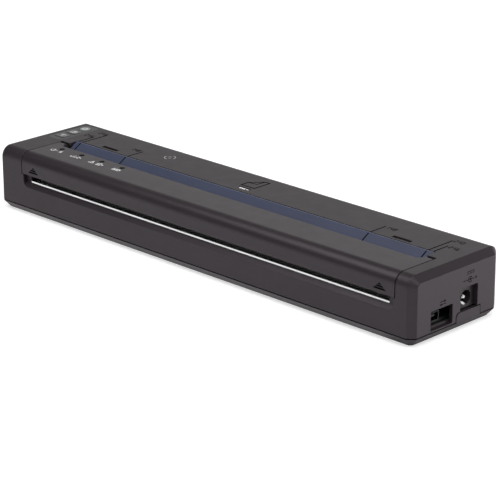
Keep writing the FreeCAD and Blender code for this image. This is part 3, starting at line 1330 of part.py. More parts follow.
def arm_centre_y():
    return (HEAD_REAR_Y + BATTERY_Y) / 2


def board_chips():
    chips = []
    for index in range(CHIP_COUNT):
        x = BATTERY_RIGHT_X - CHIP_SETBACK - index * CHIP_PITCH
        chips.append(slab(centred(x, CHIP_SIZE), centred(arm_centre_y(), CHIP_SIZE),
                          span(BOARD_TOP_Z, CHIP_HEIGHT)))
    return group(chips)


def board_capacitors():
    cans = []
    for index in range(CAPACITOR_COUNT):
        x = BATTERY_RIGHT_X - CAPACITOR_SETBACK - index * CAPACITOR_PITCH
        cans.append(rod_z(CAPACITOR_RADIUS, x, arm_centre_y(), span(BOARD_TOP_Z, CAPACITOR_HEIGHT)))
    return group(cans)


def head_socket_places():
    """The head cable's socket, at the front edge of the board's arm."""
    y = span(HEAD_REAR_Y + BOARD_ARM_FRONT + BOARD_CLEAR, HEAD_SOCKET_DEPTH)
    x = centred(BATTERY_LEFT_X + BATTERY_LEFT_BAY + HEAD_SOCKET_LENGTH, HEAD_SOCKET_LENGTH)
    return x, y, span(BOARD_TOP_Z, HEAD_SOCKET_HEIGHT)


def head_connector():
    x, y, z = head_socket_places()
    block = slab(x, y, z)
    slot = slab(centred(sum(x) / 2, HEAD_CABLE_WIDTH + 2 * SEAT_GAP),
                centred(sum(y) / 2, HEAD_CABLE_THICKNESS + 2 * SEAT_GAP),
                (z[0] + HEAD_SOCKET_HEIGHT / 2, z[1] + OVERRUN))
    return block.cut(slot)


def head_cable():
    """Flat cable that rises from its socket and turns forward to the rear edge of the head."""
    x, y, z = head_socket_places()
    middle_y = sum(y) / 2
    low_z = z[0] + HEAD_SOCKET_HEIGHT / 2 + SEAT_GAP
    run_z = CARRIER_TOP_Z + HEAD_CABLE_THICKNESS
    outer = HEAD_CABLE_RADIUS + HEAD_CABLE_THICKNESS / 2
    inner = HEAD_CABLE_RADIUS - HEAD_CABLE_THICKNESS / 2
    centre = (middle_y - HEAD_CABLE_RADIUS, run_z - HEAD_CABLE_RADIUS)
    end_y = HEAD_REAR_Y + HEAD_CABLE_GAP
    cable_x = centred(sum(x) / 2, HEAD_CABLE_WIDTH)
    rise = slab(cable_x, centred(middle_y, HEAD_CABLE_THICKNESS), (low_z, centre[1]))
    run = slab(cable_x, (end_y, centre[0]), centred(run_z, HEAD_CABLE_THICKNESS))
    bend = rod_x(outer, cable_x, *centre).cut(rod_x(inner, cable_x, *centre))
    bend = bend.common(slab(cable_x, (centre[0], centre[0] + outer), (centre[1], centre[1] + outer)))
    return join([rise, bend, run])


def chassis_screws():
    screws = []
    for places, z in ((board_screw_places(), BOARD_TOP_Z), (frame_screw_places(), FRAME_TOP_Z)):
        for x, y in places:
            head = rod_z(CHASSIS_HEAD_RADIUS, x, y, span(z, CHASSIS_HEAD))
            shank = rod_z(CHASSIS_SCREW_RADIUS, x, y, (z - CHASSIS_SCREW_LENGTH, z + CHASSIS_HEAD))
            screws.append(join([head, shank]))
    return group(screws)


# Sockets


def usb_connector():
    y = FRONT_Y + USB_CENTRE - USB_OFFSET
    x = (RIGHT_X - USB_SETBACK - USB_LENGTH, RIGHT_X - USB_SETBACK)
    z = span(BOARD_TOP_Z, USB_HEIGHT)

    def lower(middle):
        return middle.z < (z[0] + z[1]) / 2

    shell = round_edges(slab(x, centred(y, USB_WIDTH), z), ALONG_X, USB_CORNER, lower)
    mouth = slab((x[1] - USB_MOUTH_DEPTH, x[1] + OVERRUN), centred(y, USB_WIDTH - 2 * USB_SHELL),
                 (z[0] + USB_SHELL, z[1] - USB_SHELL))
    mouth = round_edges(mouth, ALONG_X, USB_CORNER - USB_SHELL, lower)
    tongue = slab((x[1] - USB_MOUTH_DEPTH - OVERLAP, x[1] - OVERRUN), centred(y, USB_TONGUE_WIDTH),
                  centred((z[0] + z[1]) / 2, USB_TONGUE_HEIGHT))
    return join([shell.cut(mouth), tongue])


def dc_centre():
    y, z = dc_places()
    return (sum(y) / 2 + DC_HOLE_OFFSET, BOARD_TOP_Z + DC_HOLE_RISE)


def dc_jack():
    y, z = dc_places()
    x = (RIGHT_X - DC_RECESS_DEPTH - DC_BODY_LENGTH, RIGHT_X - DC_RECESS_DEPTH)
    rear_x = x[1] - DC_COLLAR_LENGTH - PART_GAP
    nose = slab((rear_x - OVERLAP, x[1]), (y[0] + SEAT_GAP, y[1] - SEAT_GAP),
                (z[0] + SEAT_GAP, z[1] - SEAT_GAP))
    nose = round_edges(nose, ALONG_X, DC_RECESS_RADIUS)
    block = slab((x[0], rear_x), (y[0], y[1]), (BOARD_TOP_Z, z[1]))
    jack = join([nose, block])
    return jack.cut(rod_x(DC_HOLE_RADIUS, (x[1] - DC_HOLE_DEPTH, x[1] + OVERRUN), *dc_centre()))


def dc_pin():
    face_x = RIGHT_X - DC_RECESS_DEPTH
    tip_x = face_x - DC_PIN_SETBACK
    pin = rod_x(DC_PIN_RADIUS, (face_x - DC_HOLE_DEPTH, tip_x), *dc_centre())
    rims = [edge for edge in pin.Edges if edge.Closed and edge.CenterOfMass.x > tip_x - DC_PIN_RADIUS]
    return pin.makeChamfer(DC_PIN_CHAMFER, rims)


# Buttons


def button_panel():
    plate = panel_plate(0, (HEIGHT - PANEL_THICKNESS, HEIGHT - SEAT_GAP))
    for index in range(KEY_COUNT):
        plate = plate.cut(key_cap(index, KEY_GAP, (HEIGHT - WALL, HEIGHT + OVERRUN)))
    return plate


def key(index):
    """Key cap with a flange that keeps it under the deck and a stem above its switch."""
    x, y = key_centre(index)
    under_z = HEIGHT - WALL - SEAT_GAP
    flange_z = (under_z - KEY_FLANGE_THICKNESS, under_z)
    cap = key_cap(index, 0, (flange_z[0], HEIGHT + KEY_PROUD))
    flange = key_cap(index, KEY_FLANGE, flange_z)
    stem = slab(centred(x, KEY_STEM_WIDTH), centred(y, KEY_STEM_WIDTH), (flange_z[0] - KEY_STEM, flange_z[0]))
    return join([cap, flange, stem])


def button_board():
    x, y = button_board_places()
    top_z = button_board_top_z()
    return slab(x, y, (top_z - SMALL_BOARD_THICKNESS, top_z))


def button_switches():
    switches = []
    base_z = button_board_top_z()
    for index in range(KEY_COUNT):
        x, y = key_centre(index)
        body = slab(centred(x, SWITCH_SIZE), centred(y, SWITCH_SIZE), span(base_z, SWITCH_HEIGHT))
        plunger = rod_z(PLUNGER_RADIUS, x, y, span(base_z, SWITCH_HEIGHT + PLUNGER_HEIGHT))
        switches.append(join([body, plunger]))
    return group(switches)


# Sensors


def paper_sensor():
    """Reflective sensor on the underside of the chute."""
    front_y = STRIP_FRONT_Y + SENSOR_SETBACK
    rear_y = front_y + SENSOR_DEPTH
    drop = STRIP_THICKNESS + CHUTE_THICKNESS + 2 * SEAT_GAP
    outline = [(front_y, strip_surface_z(front_y) - drop), (rear_y, strip_surface_z(rear_y) - drop),
               (rear_y, strip_surface_z(rear_y) - drop - SENSOR_HEIGHT),
               (front_y, strip_surface_z(front_y) - drop - SENSOR_HEIGHT)]
    return prism_x(outline, centred(SENSOR_X, SENSOR_LENGTH))


def cover_switch():
    """Switch on the right bulkhead that the cover's post presses."""
    wall_x = PATH_X + COVER_HALF + PART_GAP
    x = (wall_x - SEAT_GAP - COVER_SWITCH_WIDTH, wall_x - SEAT_GAP)
    body = slab(x, centred(COVER_SWITCH_Y, COVER_SWITCH_DEPTH),
                (COVER_SWITCH_TOP_Z - COVER_SWITCH_HEIGHT, COVER_SWITCH_TOP_Z))
    plunger = rod_z(COVER_SWITCH_RADIUS, sum(x) / 2, COVER_SWITCH_Y,
                    span(COVER_SWITCH_TOP_Z - OVERLAP, COVER_SWITCH_PLUNGER + OVERLAP))
    return join([body, plunger])


PIECES = {
    "upper_case": upper_case,
    "bottom_case": bottom_case,
    "battery_cover": battery_cover,
    "rubber_feet": rubber_feet,
    "case_screws": case_screws,
    "entry_strip": entry_strip,
    "paper_chute": paper_chute,
    "exit_bar": exit_bar,
    "release_cover": release_cover,
    "hinge_pins": hinge_pins,
    "indicator_lenses": indicator_lenses,
    "indicator_board": indicator_board,
    "platen_rubber": platen_rubber,
    "platen_shaft": platen_shaft,
    "platen_bushes": platen_bushes,
    "platen_gear": platen_gear,
    "idler_gear": idler_gear,
    "compound_gear": compound_gear,
    "motor_pinion": motor_pinion,
    "motor_shaft": motor_shaft,
    "gear_axles": gear_axles,
    "gear_plate": gear_plate,
    "feed_motor": feed_motor,
    "thermal_head": thermal_head,
    "head_carrier": head_carrier,
    "head_pivot_pins": head_pivot_pins,
    "head_frame": head_frame,
    "head_springs": head_springs,
    "head_connector": head_connector,
    "head_cable": head_cable,
    "battery_pack": battery_pack,
    "battery_contacts": battery_contacts,
    "main_board": main_board,
    "board_chips": board_chips,
    "board_capacitors": board_capacitors,
    "chassis_screws": chassis_screws,
    "usb_connector": usb_connector,
    "dc_jack": dc_jack,
    "dc_pin": dc_pin,
    "button_panel": button_panel,
    "feed_button": lambda: key(0),
    "mode_button": lambda: key(1),
    "power_button": lambda: key(2),
    "button_board": button_board,
    "button_switches": button_switches,
    "paper_sensor": paper_sensor,
    "cover_switch": cover_switch,
}

os.makedirs("parts", exist_ok=True)
for name, build in PIECES.items():
    write(build(), name)
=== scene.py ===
import math

import bmesh
import bpy
from mathutils import Matrix, Vector


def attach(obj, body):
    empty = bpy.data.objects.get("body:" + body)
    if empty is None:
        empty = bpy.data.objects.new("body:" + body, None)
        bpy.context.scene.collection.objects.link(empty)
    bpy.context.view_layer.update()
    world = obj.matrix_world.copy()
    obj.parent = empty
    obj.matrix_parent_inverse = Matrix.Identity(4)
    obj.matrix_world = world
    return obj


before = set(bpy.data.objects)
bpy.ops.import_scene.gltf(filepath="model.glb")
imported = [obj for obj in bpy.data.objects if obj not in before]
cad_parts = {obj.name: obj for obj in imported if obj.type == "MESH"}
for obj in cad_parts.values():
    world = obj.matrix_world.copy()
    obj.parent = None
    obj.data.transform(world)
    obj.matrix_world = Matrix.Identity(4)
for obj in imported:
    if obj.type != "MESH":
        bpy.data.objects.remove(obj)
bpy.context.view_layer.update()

MM = 0.001

# Places on the printer, in millimetres, that the marks in print and the painted shade are set out from
DECK_Z = 30.0
PATH_X = 4.45
STRIP_REAR_Y = 1.6
STRIP_SLOPE = 0.62
STRIP_FRONT_Y = -7.6
STRIP_MARK_END_Y = 1.5
LIP_Y = -27.5
END_X = 127.5
GUIDE_Y = 2.7
ENTRY_ENDS = (-104.9, 113.8)
# Heights of the painted shade band on the wall behind the entry strip
GAP_SHADE_Z = (28.4, 29.9)
LENS_X = (-99.8, -86.1, -72.4, -58.7)
LENS_Y = -11.0
DC_HOLE = (124.9, 7.7, 12.4)
DC_HOLE_RADIUS = 3.15
LIFT_X = (-101.3, 110.2)
LIFT_Z = 21.4
LIFT_HALF = 3.4
LIFT_HEIGHT = 2.95
KEY_X = -116.35
KEY_Y = (3.5, 10.5, 17.5)
KEY_TOP_Z = 30.15
ICON_X = (-99.5, -86.2, -72.5, -58.9)
ICON_Y = -14.4
ICON_SIZE = 1.45
INK = 0.012
LINE = 0.65
DIGIT_HEIGHT = 2.2
DIGIT_STROKE = 0.34
MARK_START_Y = 2.6
STRIP_REACH = 107.0

# The plastics' slightly purple sheen
SHEEN = (1.0, 0.90, 0.97, 1.0)


# Materials


def new_material(name):
    material = bpy.data.materials.new(name)
    material.use_nodes = True
    tree = material.node_tree
    tree.nodes.clear()
    out = tree.nodes.new("ShaderNodeOutputMaterial")
    shader = tree.nodes.new("ShaderNodeBsdfPrincipled")
    tree.links.new(shader.outputs["BSDF"], out.inputs["Surface"])
    return material, tree, shader


def coordinates(tree, stretch=(1, 1, 1)):
    place = tree.nodes.new("ShaderNodeTexCoord")
    mapping = tree.nodes.new("ShaderNodeMapping")
    mapping.inputs["Scale"].default_value = stretch
    tree.links.new(place.outputs["Object"], mapping.inputs["Vector"])
    return mapping.outputs["Vector"]


def noise(tree, vector, scale, detail=2.0, rough=0.5):
    node = tree.nodes.new("ShaderNodeTexNoise")
    node.inputs["Scale"].default_value = scale
    node.inputs["Detail"].default_value = detail
    node.inputs["Roughness"].default_value = rough
    tree.links.new(vector, node.inputs["Vector"])
    return node.outputs["Fac"]


def ramp(tree, value, stops):
    node = tree.nodes.new("ShaderNodeValToRGB")
    elements = node.color_ramp.elements
    while len(elements) < len(stops):
        elements.new(0.5)
    for element, (place, colour) in zip(elements, stops):
        element.position = place
        element.color = (*colour, 1.0)
    tree.links.new(value, node.inputs["Fac"])
    return node.outputs["Color"]


def span(tree, value, low, high, start=0.0, end=1.0):
    """The value's range from start to end laid over the range from low to high."""
    node = tree.nodes.new("ShaderNodeMapRange")
    node.inputs["From Min"].default_value = start
    node.inputs["From Max"].default_value = end
    node.inputs["To Min"].default_value = low
    node.inputs["To Max"].default_value = high
    tree.links.new(value, node.inputs["Value"])
    return node.outputs["Result"]


def combined(tree, operation, first, second):
    node = tree.nodes.new("ShaderNodeMath")
    node.operation = operation
    tree.links.new(first, node.inputs[0])
    tree.links.new(second, node.inputs[1])
    return node.outputs[0]


def shaded(colour, factor):
    return tuple(min(1.0, c * factor) for c in colour)


def bump(tree, shader, height, distance, edge):
    """Surface relief, over edges softened by the small radius that a moulded or bent edge has."""
    node = tree.nodes.new("ShaderNodeBump")
    node.inputs["Strength"].default_value = 1.0
    node.inputs["Distance"].default_value = distance
    tree.links.new(height, node.inputs["Height"])
    if edge > 0:
        soft = tree.nodes.new("ShaderNodeBevel")
        soft.samples = 4
        soft.inputs["Radius"].default_value = edge * MM
        tree.links.new(soft.outputs["Normal"], node.inputs["Normal"])
    tree.links.new(node.outputs["Normal"], shader.inputs["Normal"])


def moulded(name, colour, rough=0.5, grain=0.006, grain_size=0.35, edge=0.2, specular=0.5, coat=0.0):
    """Moulded plastic with an even spark-eroded grain, slight flow marks and a soft sheen."""
    material, tree, shader = new_material(name)
    vector = coordinates(tree)
    fine = noise(tree, vector, 1.0 / (grain_size * MM), 1.0)
    broad = noise(tree, vector, 28.0, 3.0, 0.6)
    tint = ramp(tree, broad, [(0.3, shaded(colour, 0.93)), (0.7, shaded(colour, 1.07))])
    tree.links.new(tint, shader.inputs["Base Color"])
    tree.links.new(span(tree, noise(tree, vector, 160.0, 4.0, 0.65), rough - 0.05, rough + 0.05),
                   shader.inputs["Roughness"])
    shader.inputs["Specular IOR Level"].default_value = specular
    shader.inputs["Specular Tint"].default_value = SHEEN
    shader.inputs["Coat Weight"].default_value = coat
    bump(tree, shader, fine, grain * MM, edge)
    return material


def metal(name, colour, rough=0.3, stretch=(1, 1, 1), edge=0.1, scratch=0.004):
    """Metal with fine drawn or brushed lines along the axis that stretch leaves long."""
    material, tree, shader = new_material(name)
    vector = coordinates(tree, stretch)
    lines = noise(tree, vector, 4000.0, 3.0, 0.7)
    broad = noise(tree, coordinates(tree), 90.0, 3.0, 0.6)
    tree.links.new(ramp(tree, broad, [(0.3, shaded(colour, 0.9)), (0.7, shaded(colour, 1.05))]),
                   shader.inputs["Base Color"])
    tree.links.new(span(tree, lines, rough - 0.08, rough + 0.1), shader.inputs["Roughness"])
    shader.inputs["Metallic"].default_value = 1.0
    bump(tree, shader, lines, scratch * MM, edge)
    return material


def board(name):
    """Near black solder mask over faint copper tracks, with rows of small pads."""
    material, tree, shader = new_material(name)
    vector = coordinates(tree)
    tracks = tree.nodes.new("ShaderNodeTexBrick")
    tracks.inputs["Scale"].default_value = 260.0
    tracks.inputs["Mortar Size"].default_value = 0.06
    tracks.inputs["Color1"].default_value = (0.0025, 0.0060, 0.0040, 1)
    tracks.inputs["Color2"].default_value = (0.0035, 0.0080, 0.0050, 1)
    tracks.inputs["Mortar"].default_value = (0.0050, 0.0120, 0.0075, 1)
    tree.links.new(vector, tracks.inputs["Vector"])
    pads = tree.nodes.new("ShaderNodeTexVoronoi")
    pads.inputs["Scale"].default_value = 300.0
    tree.links.new(vector, pads.inputs["Vector"])
    mask = ramp(tree, pads.outputs["Distance"], [(0.12, (1, 1, 1)), (0.16, (0, 0, 0))])
    mix = tree.nodes.new("ShaderNodeMix")
    mix.data_type = "RGBA"
    tree.links.new(mask, mix.inputs["Factor"])
    tree.links.new(tracks.outputs["Color"], mix.inputs["A"])
    mix.inputs["B"].default_value = (0.10, 0.085, 0.055, 1)
    tree.links.new(mix.outputs["Result"], shader.inputs["Base Color"])
    shader.inputs["Roughness"].default_value = 0.32
    bump(tree, shader, noise(tree, vector, 700.0), 0.01 * MM, 0.0)
    return material


def clear_lens(name):
    """Smoked clear plastic of the lamp windows, dark while the lamps are off."""
    material, tree, shader = new_material(name)
    vector = coordinates(tree)
    tint = ramp(tree, noise(tree, vector, 400.0), [(0.3, (0.003,) * 3), (0.7, (0.005,) * 3)])
    tree.links.new(tint, shader.inputs["Base Color"])
    shader.inputs["Roughness"].default_value = 0.55
    shader.inputs["Specular IOR Level"].default_value = 0.12
    bump(tree, shader, noise(tree, vector, 900.0), 0.002 * MM, 0.08)
    return material


def ink(name, colour, rough=0.45, specular=0.5):
    """Ink laid on by screen print, a little uneven in cover."""
    material, tree, shader = new_material(name)
    vector = coordinates(tree)
    tint = ramp(tree, noise(tree, vector, 1500.0, 4.0), [(0.25, shaded(colour, 0.82)), (0.6, colour)])
    tree.links.new(tint, shader.inputs["Base Color"])
    shader.inputs["Roughness"].default_value = rough
    shader.inputs["Specular IOR Level"].default_value = specular
    bump(tree, shader, noise(tree, vector, 4000.0), 0.002 * MM, 0.0)
    return material


CASE = (0.0166, 0.0126, 0.0152)
looks = {
    "case": moulded("case_plastic", CASE, 0.46, 0.007, 0.30, 0.25),
    "cover": moulded("cover_plastic", (0.0172, 0.0131, 0.0158), 0.40, 0.006, 0.30, 0.25),
    "base": moulded("base_plastic", (0.0156, 0.0121, 0.0144), 0.50, 0.008, 0.32, 0.25),
    "inner": moulded("inner_plastic", (0.009, 0.009, 0.0095), 0.55, 0.003, 0.5, 0.15),
    "strip": moulded("strip_plastic", (0.040, 0.049, 0.084), 0.34, 0.003, 0.30, 0.45),
    "panel": moulded("panel_plastic", (0.042, 0.041, 0.043), 0.42, 0.003, 0.30, 0.15),
    "key": moulded("key_plastic", (0.062, 0.062, 0.064), 0.40, 0.003, 0.30, 0.25),
    "power": moulded("power_key_plastic", (0.19, 0.215, 0.205), 0.40, 0.003, 0.30, 0.25),
    "rubber": moulded("foot_rubber", (0.018, 0.018, 0.019), 0.8, 0.02, 0.4, 0.2),
    "roller": moulded("roller_rubber", (0.022, 0.022, 0.024), 0.7, 0.012, 0.25, 0.1),
    "jack": moulded("jack_plastic", (0.0190, 0.0160, 0.0175), 0.42, 0.004, 0.3, 0.15),
    "chip": moulded("chip_mould", (0.013, 0.013, 0.013), 0.45, 0.004, 0.2, 0.1),
    "acetal": moulded("acetal", (0.68, 0.67, 0.62), 0.38, 0.002, 0.5, 0.1),
    "ceramic": moulded("head_ceramic", (0.62, 0.56, 0.46), 0.2, 0.002, 0.4, 0.1, coat=0.5),
    "film": moulded("cable_film", (0.62, 0.60, 0.55), 0.35, 0.004, 0.8, 0.0),
    "wrap": moulded("battery_wrap", (0.018, 0.040, 0.12), 0.28, 0.012, 2.5, 0.2),
    "steel": metal("steel", (0.56, 0.56, 0.57), 0.32, (0.02, 1, 1)),
    "bar": metal("bar_steel", (0.86, 0.86, 0.87), 0.16, (0.01, 1, 1), 0.1, 0.001),
    "black_steel": metal("black_steel", (0.07, 0.07, 0.075), 0.4),
    "can": metal("motor_can", (0.48, 0.48, 0.49), 0.34, (0.03, 1, 1)),
    "aluminium": metal("aluminium", (0.72, 0.73, 0.74), 0.38, (0.02, 1, 1)),
    "brass": metal("brass", (0.78, 0.58, 0.26), 0.26, (1, 1, 0.05)),
    # Metal of the data socket, near black: the colour paints the shade inside the socket mouth
    "plated": metal("socket_metal", (0.055, 0.054, 0.056), 0.5),
    "contact": metal("contact_metal", (0.86, 0.86, 0.84), 0.24),
    "sleeve": metal("capacitor_can", (0.62, 0.63, 0.66), 0.3),
    "board": board("circuit_board"),
    "lens": clear_lens("lamp_lens"),
    "white_ink": ink("white_ink", (0.78, 0.78, 0.77)),
    "grey_ink": ink("grey_ink", (0.36, 0.36, 0.36)),
    # Dark ink for the printed marks, also used as the painted shade on the wall behind the entry strip
    "dark_ink_and_painted_shade": ink("dark_mark_and_painted_shade", (0.002, 0.002, 0.002), 0.8, 0.0),
}

node_looks = {
    "case": ["upper_case"],
    "cover": ["release_cover"],
    "base": ["bottom_case", "battery_cover"],
    "inner": ["paper_chute", "head_connector", "cover_switch", "paper_sensor", "battery_contacts"],
    "strip": ["entry_strip"],
    "panel": ["button_panel"],
    "key": ["feed_button", "mode_button"],
    "power": ["power_button"],
    "rubber": ["rubber_feet"],
    "roller": ["platen_rubber"],
    "jack": ["dc_jack"],
    "chip": ["board_chips", "button_switches"],
    "acetal": ["platen_gear", "idler_gear", "compound_gear", "platen_bushes"],
    "ceramic": ["thermal_head"],
    "film": ["head_cable"],
    "wrap": ["battery_pack"],
    "steel": ["platen_shaft", "gear_plate", "gear_axles", "head_frame", "head_springs", "head_pivot_pins",
              "motor_shaft", "hinge_pins"],
    "bar": ["exit_bar"],
    "black_steel": ["case_screws", "chassis_screws"],
    "can": ["feed_motor"],
    "aluminium": ["head_carrier"],
    "brass": ["motor_pinion"],
    "contact": ["dc_pin"],
    "plated": ["usb_connector"],
    "sleeve": ["board_capacitors"],
    "board": ["main_board", "button_board", "indicator_board"],
    "lens": ["indicator_lenses"],
}
for look, nodes in node_looks.items():
    for node in nodes:
        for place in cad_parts[node].material_slots:
            place.material = looks[look]


# Marks in print, and painted shade behind the entry strip


def ribbon(points, width, closed=False):
    """Quads of a line of one width along the given points, mitred at its corners."""
    count = len(points)
    sides = []
    for index, (x, y) in enumerate(points):
        before = points[index - 1] if index or closed else None
        after = points[(index + 1) % count] if index < count - 1 or closed else None
        ways = []
        for start, end in ((before, (x, y)), ((x, y), after)):
            if start is not None and end is not None:
                way = Vector((end[0] - start[0], end[1] - start[1]))
                ways.append(way.normalized())
        normal = sum((Vector((-way.y, way.x)) for way in ways), Vector((0, 0))).normalized()
        reach = width / 2 / max(0.35, normal.dot(Vector((-ways[0].y, ways[0].x))))
        sides.append(((x + normal.x * reach, y + normal.y * reach),
                      (x - normal.x * reach, y - normal.y * reach)))
    if closed:
        sides.append(sides[0])
    return [[first[1], second[1], second[0], first[0]] for first, second in zip(sides, sides[1:])]


def arc(x, y, radius, start=0.0, end=360.0, steps=24):
    angles = [math.radians(start + (end - start) * i / steps) for i in range(steps + 1)]
    return [(x + radius * math.cos(angle), y + radius * math.sin(angle)) for angle in angles]


def ring(x, y, radius, width, start=0.0, end=360.0, steps=24):
    whole = abs(end - start) >= 360
    points = arc(x, y, radius, start, end, steps)
    return ribbon(points[:-1] if whole else points, width, whole)


def bar(x0, y0, x1, y1):
    return [[(x0, y0), (x1, y0), (x1, y1), (x0, y1)]]


def dot(x, y, radius, steps=16):
    return [arc(x, y, radius, 0, 360, steps)[:-1]]


def moved(shapes, x, y, turn=0.0, size=1.0):
    cosine, sine = math.cos(math.radians(turn)) * size, math.sin(math.radians(turn)) * size
    return [[(x + u * cosine - v * sine, y + u * sine + v * cosine) for u, v in shape] for shape in shapes]


def on_deck(u, v):
    return Vector((u, v, DECK_Z))


def on_strip(u, v):
    return Vector((u, v, DECK_Z - STRIP_SLOPE * (STRIP_REAR_Y - v)))


def on_guide(u, v):
    return Vector((u, GUIDE_Y, v))


def on_keys(u, v):
    return Vector((u, v, KEY_TOP_Z))


def on_front(u, v):
    return Vector((u, LIP_Y, v))


def on_end(u, v):
    return Vector((END_X, u, v))


def print_and_shade_piece(name, groups, body, look):
    """One thin piece laid on a surface, used for print and for painted shade, from groups of (shapes,
    surface, outward direction).
    """
    mesh = bmesh.new()
    for shapes, surface, out in groups:
        lift = Vector(out)
        for shape in shapes:
            low = [mesh.verts.new((surface(u, v) - lift * INK) * MM) for u, v in shape]
            high = [mesh.verts.new((surface(u, v) + lift * INK) * MM) for u, v in shape]
            mesh.faces.new(high)
            mesh.faces.new(low[::-1])
            for i in range(len(shape)):
                j = (i + 1) % len(shape)
                mesh.faces.new((low[i], low[j], high[j], high[i]))
    bmesh.ops.recalc_face_normals(mesh, faces=mesh.faces)
    data = bpy.data.meshes.new(name)
    mesh.to_mesh(data)
    mesh.free()
    data.materials.append(looks[look])
    piece = bpy.data.objects.new(name, data)
    bpy.context.scene.collection.objects.link(piece)
    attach(piece, body)
    return piece


def digits(text, x, y, height, turn):
    """Outlines of plain seven-stroke digits, written from the middle at (x, y)."""
    strokes = {
        "0": [[(0, 0), (1, 0), (1, 2), (0, 2)]],
        "1": [[(0.2, 1.6), (0.6, 2), (0.6, 0)]],
        "2": [[(0, 2), (1, 2), (1, 1), (0, 1), (0, 0), (1, 0)]],
        "4": [[(0, 2), (0, 0.9), (1, 0.9)], [(0.8, 2), (0.8, 0)]],
        "6": [[(1, 2), (0, 2), (0, 0), (1, 0), (1, 1), (0, 1)]],
        "8": [[(0, 0), (1, 0), (1, 2), (0, 2)], [(0, 1), (1, 1)]],
    }
    shapes = []
    for index, sign in enumerate(text):
        for number, line in enumerate(strokes[sign]):
            whole = sign in "08" and number == 0
            shift = index * 1.6 - (len(text) * 1.6 - 0.6) / 2
            shapes += ribbon([(u + shift, v - 1) for u, v in line], DIGIT_STROKE, whole)
    return moved(shapes, x, y, turn, height / 2)


UP = (0, 0, 1)
SLOPE_OUT = Vector((0, -STRIP_SLOPE, 1)).normalized()
marks = []
strip_marks = []
# Paper widths either side of the middle: line, its rear end, the middle of the number
for number, line_x, rear, number_x, number_y in (
        ("210", 109.6, 17.9, 112.9, 18.2), ("210", -101.2, 17.8, -104.1, 18.1),
        ("216", 112.3, 11.8, 116.0, 11.0), ("216", -103.6, 11.7, -106.7, 11.8),
        ("148", 78.4, 12.2, 82.3, 11.5), ("148", -70.1, 12.2, -74.2, 11.8)):
    marks.append((bar(line_x - LINE / 2, MARK_START_Y, line_x + LINE / 2, rear), on_deck, UP))
    marks.append((digits(number, number_x, number_y, DIGIT_HEIGHT, 0), on_deck, UP))
    if abs(line_x - PATH_X) < STRIP_REACH:
        stroke = bar(line_x - LINE / 2, STRIP_FRONT_Y, line_x + LINE / 2, STRIP_MARK_END_Y)
        strip_marks.append((stroke, on_strip, SLOPE_OUT))

# Which way up the sheet goes in: a sheet with a turned corner above the way in
sheet = ribbon([(-3.7, 9.6), (4.2, 9.6), (4.2, 19.3), (1.5, 19.3), (-3.7, 13.9)], LINE, True)
sheet += ribbon([(-3.7, 13.9), (1.0, 14.5), (1.5, 19.3)], LINE)
sheet += bar(-3.1, 7.35, 4.2, 7.9)
marks.append((sheet, on_deck, UP))
print_and_shade_piece("deck_marks", marks, "housing", "dark_ink_and_painted_shade")
print_and_shade_piece("strip_marks", strip_marks, "housing", "dark_ink_and_painted_shade")

# Painted shade: a matt black band on the wall behind the entry strip stands for the shadow in the gap
# between strip and deck; dark rings round the lamp windows
gap_painted_shade = bar(ENTRY_ENDS[0], GAP_SHADE_Z[0], ENTRY_ENDS[1], GAP_SHADE_Z[1])
print_and_shade_piece("entry_gap_painted_shade", [(gap_painted_shade, on_guide, (0, -1, 0))], "housing", "dark_ink_and_painted_shade")
rims = [(ring(x, LENS_Y, 0.98, 0.56), on_deck, UP) for x in LENS_X]
print_and_shade_piece("lamp_rims", rims, "cover", "dark_ink_and_painted_shade")
way_in = bar(-1.4, 5.7, 2.2, 6.7) + bar(2.8, 5.9, 4.0, 6.5)
print_and_shade_piece("way_in_mark", [(way_in, on_deck, UP)], "housing", "white_ink")

badge = ring(0, 0, 2.55, 0.38, -8, 98, 10) + ring(0, 0, 2.55, 0.38, 172, 278, 10)
for side in (-0.95, 0.95):
    badge += moved(bar(-0.75, side - 0.19, 0.75, side + 0.19), 0, 0, 45)
print_and_shade_piece("deck_icon", [(moved(badge, -54.9, 14.9), on_deck, UP)], "housing", "grey_ink")

# Lamp icons: power and charge, data, warning and sheet, battery
STROKE = 0.2
PAIR = 1.75
ring_and_bar = ring(0, 0, 0.8, STROKE, 120, 420, 20) + bar(-0.1, 0.15, 0.1, 1.15)
bolt = [[(0.35, 1.05), (-0.75, -0.1), (-0.05, -0.1)], [(-0.35, -1.05), (0.75, 0.1), (0.05, 0.1)]]
power = moved(ring_and_bar, -PAIR, 0) + moved(bolt, PAIR, 0) + bar(-0.35, -0.1, 0.35, 0.1)
arrow = bar(-0.1, -0.2, 0.1, 1.0) + [[(-0.45, 0.2), (0, -0.42), (0.45, 0.2)]]
tray = ribbon([(-1.1, 0.2), (-1.1, -0.75), (1.1, -0.75), (1.1, 0.2)], STROKE)
data = moved(arrow + tray, -0.9, 0) + dot(1.1, 0.5, 0.32) + dot(1.1, -0.5, 0.32)
data += bar(1.7, -0.1, 2.5, 0.1)
triangle = ribbon([(-1.0, -0.75), (1.0, -0.75), (0, 0.95)], STROKE, True)
triangle += bar(-0.1, -0.15, 0.1, 0.4) + bar(-0.1, -0.5, 0.1, -0.3)
leaf = ribbon([(-0.75, -0.9), (0.75, -0.9), (0.75, 0.4), (0.25, 0.9), (-0.75, 0.9)], STROKE, True)
leaf += bar(-0.4, -0.1, 0.4, 0.1) + bar(-0.4, -0.55, 0.4, -0.35)
warning = moved(triangle, -1.9, 0) + moved(leaf, 1.5, 0) + dot(3.0, 0, 0.28)
battery = ribbon([(-1.5, -0.65), (1.3, -0.65), (1.3, 0.65), (-1.5, 0.65)], STROKE, True)
battery += bar(1.4, -0.3, 1.8, 0.3) + bar(-1.15, -0.3, -0.3, 0.3) + bar(0.0, -0.3, 0.85, 0.3)
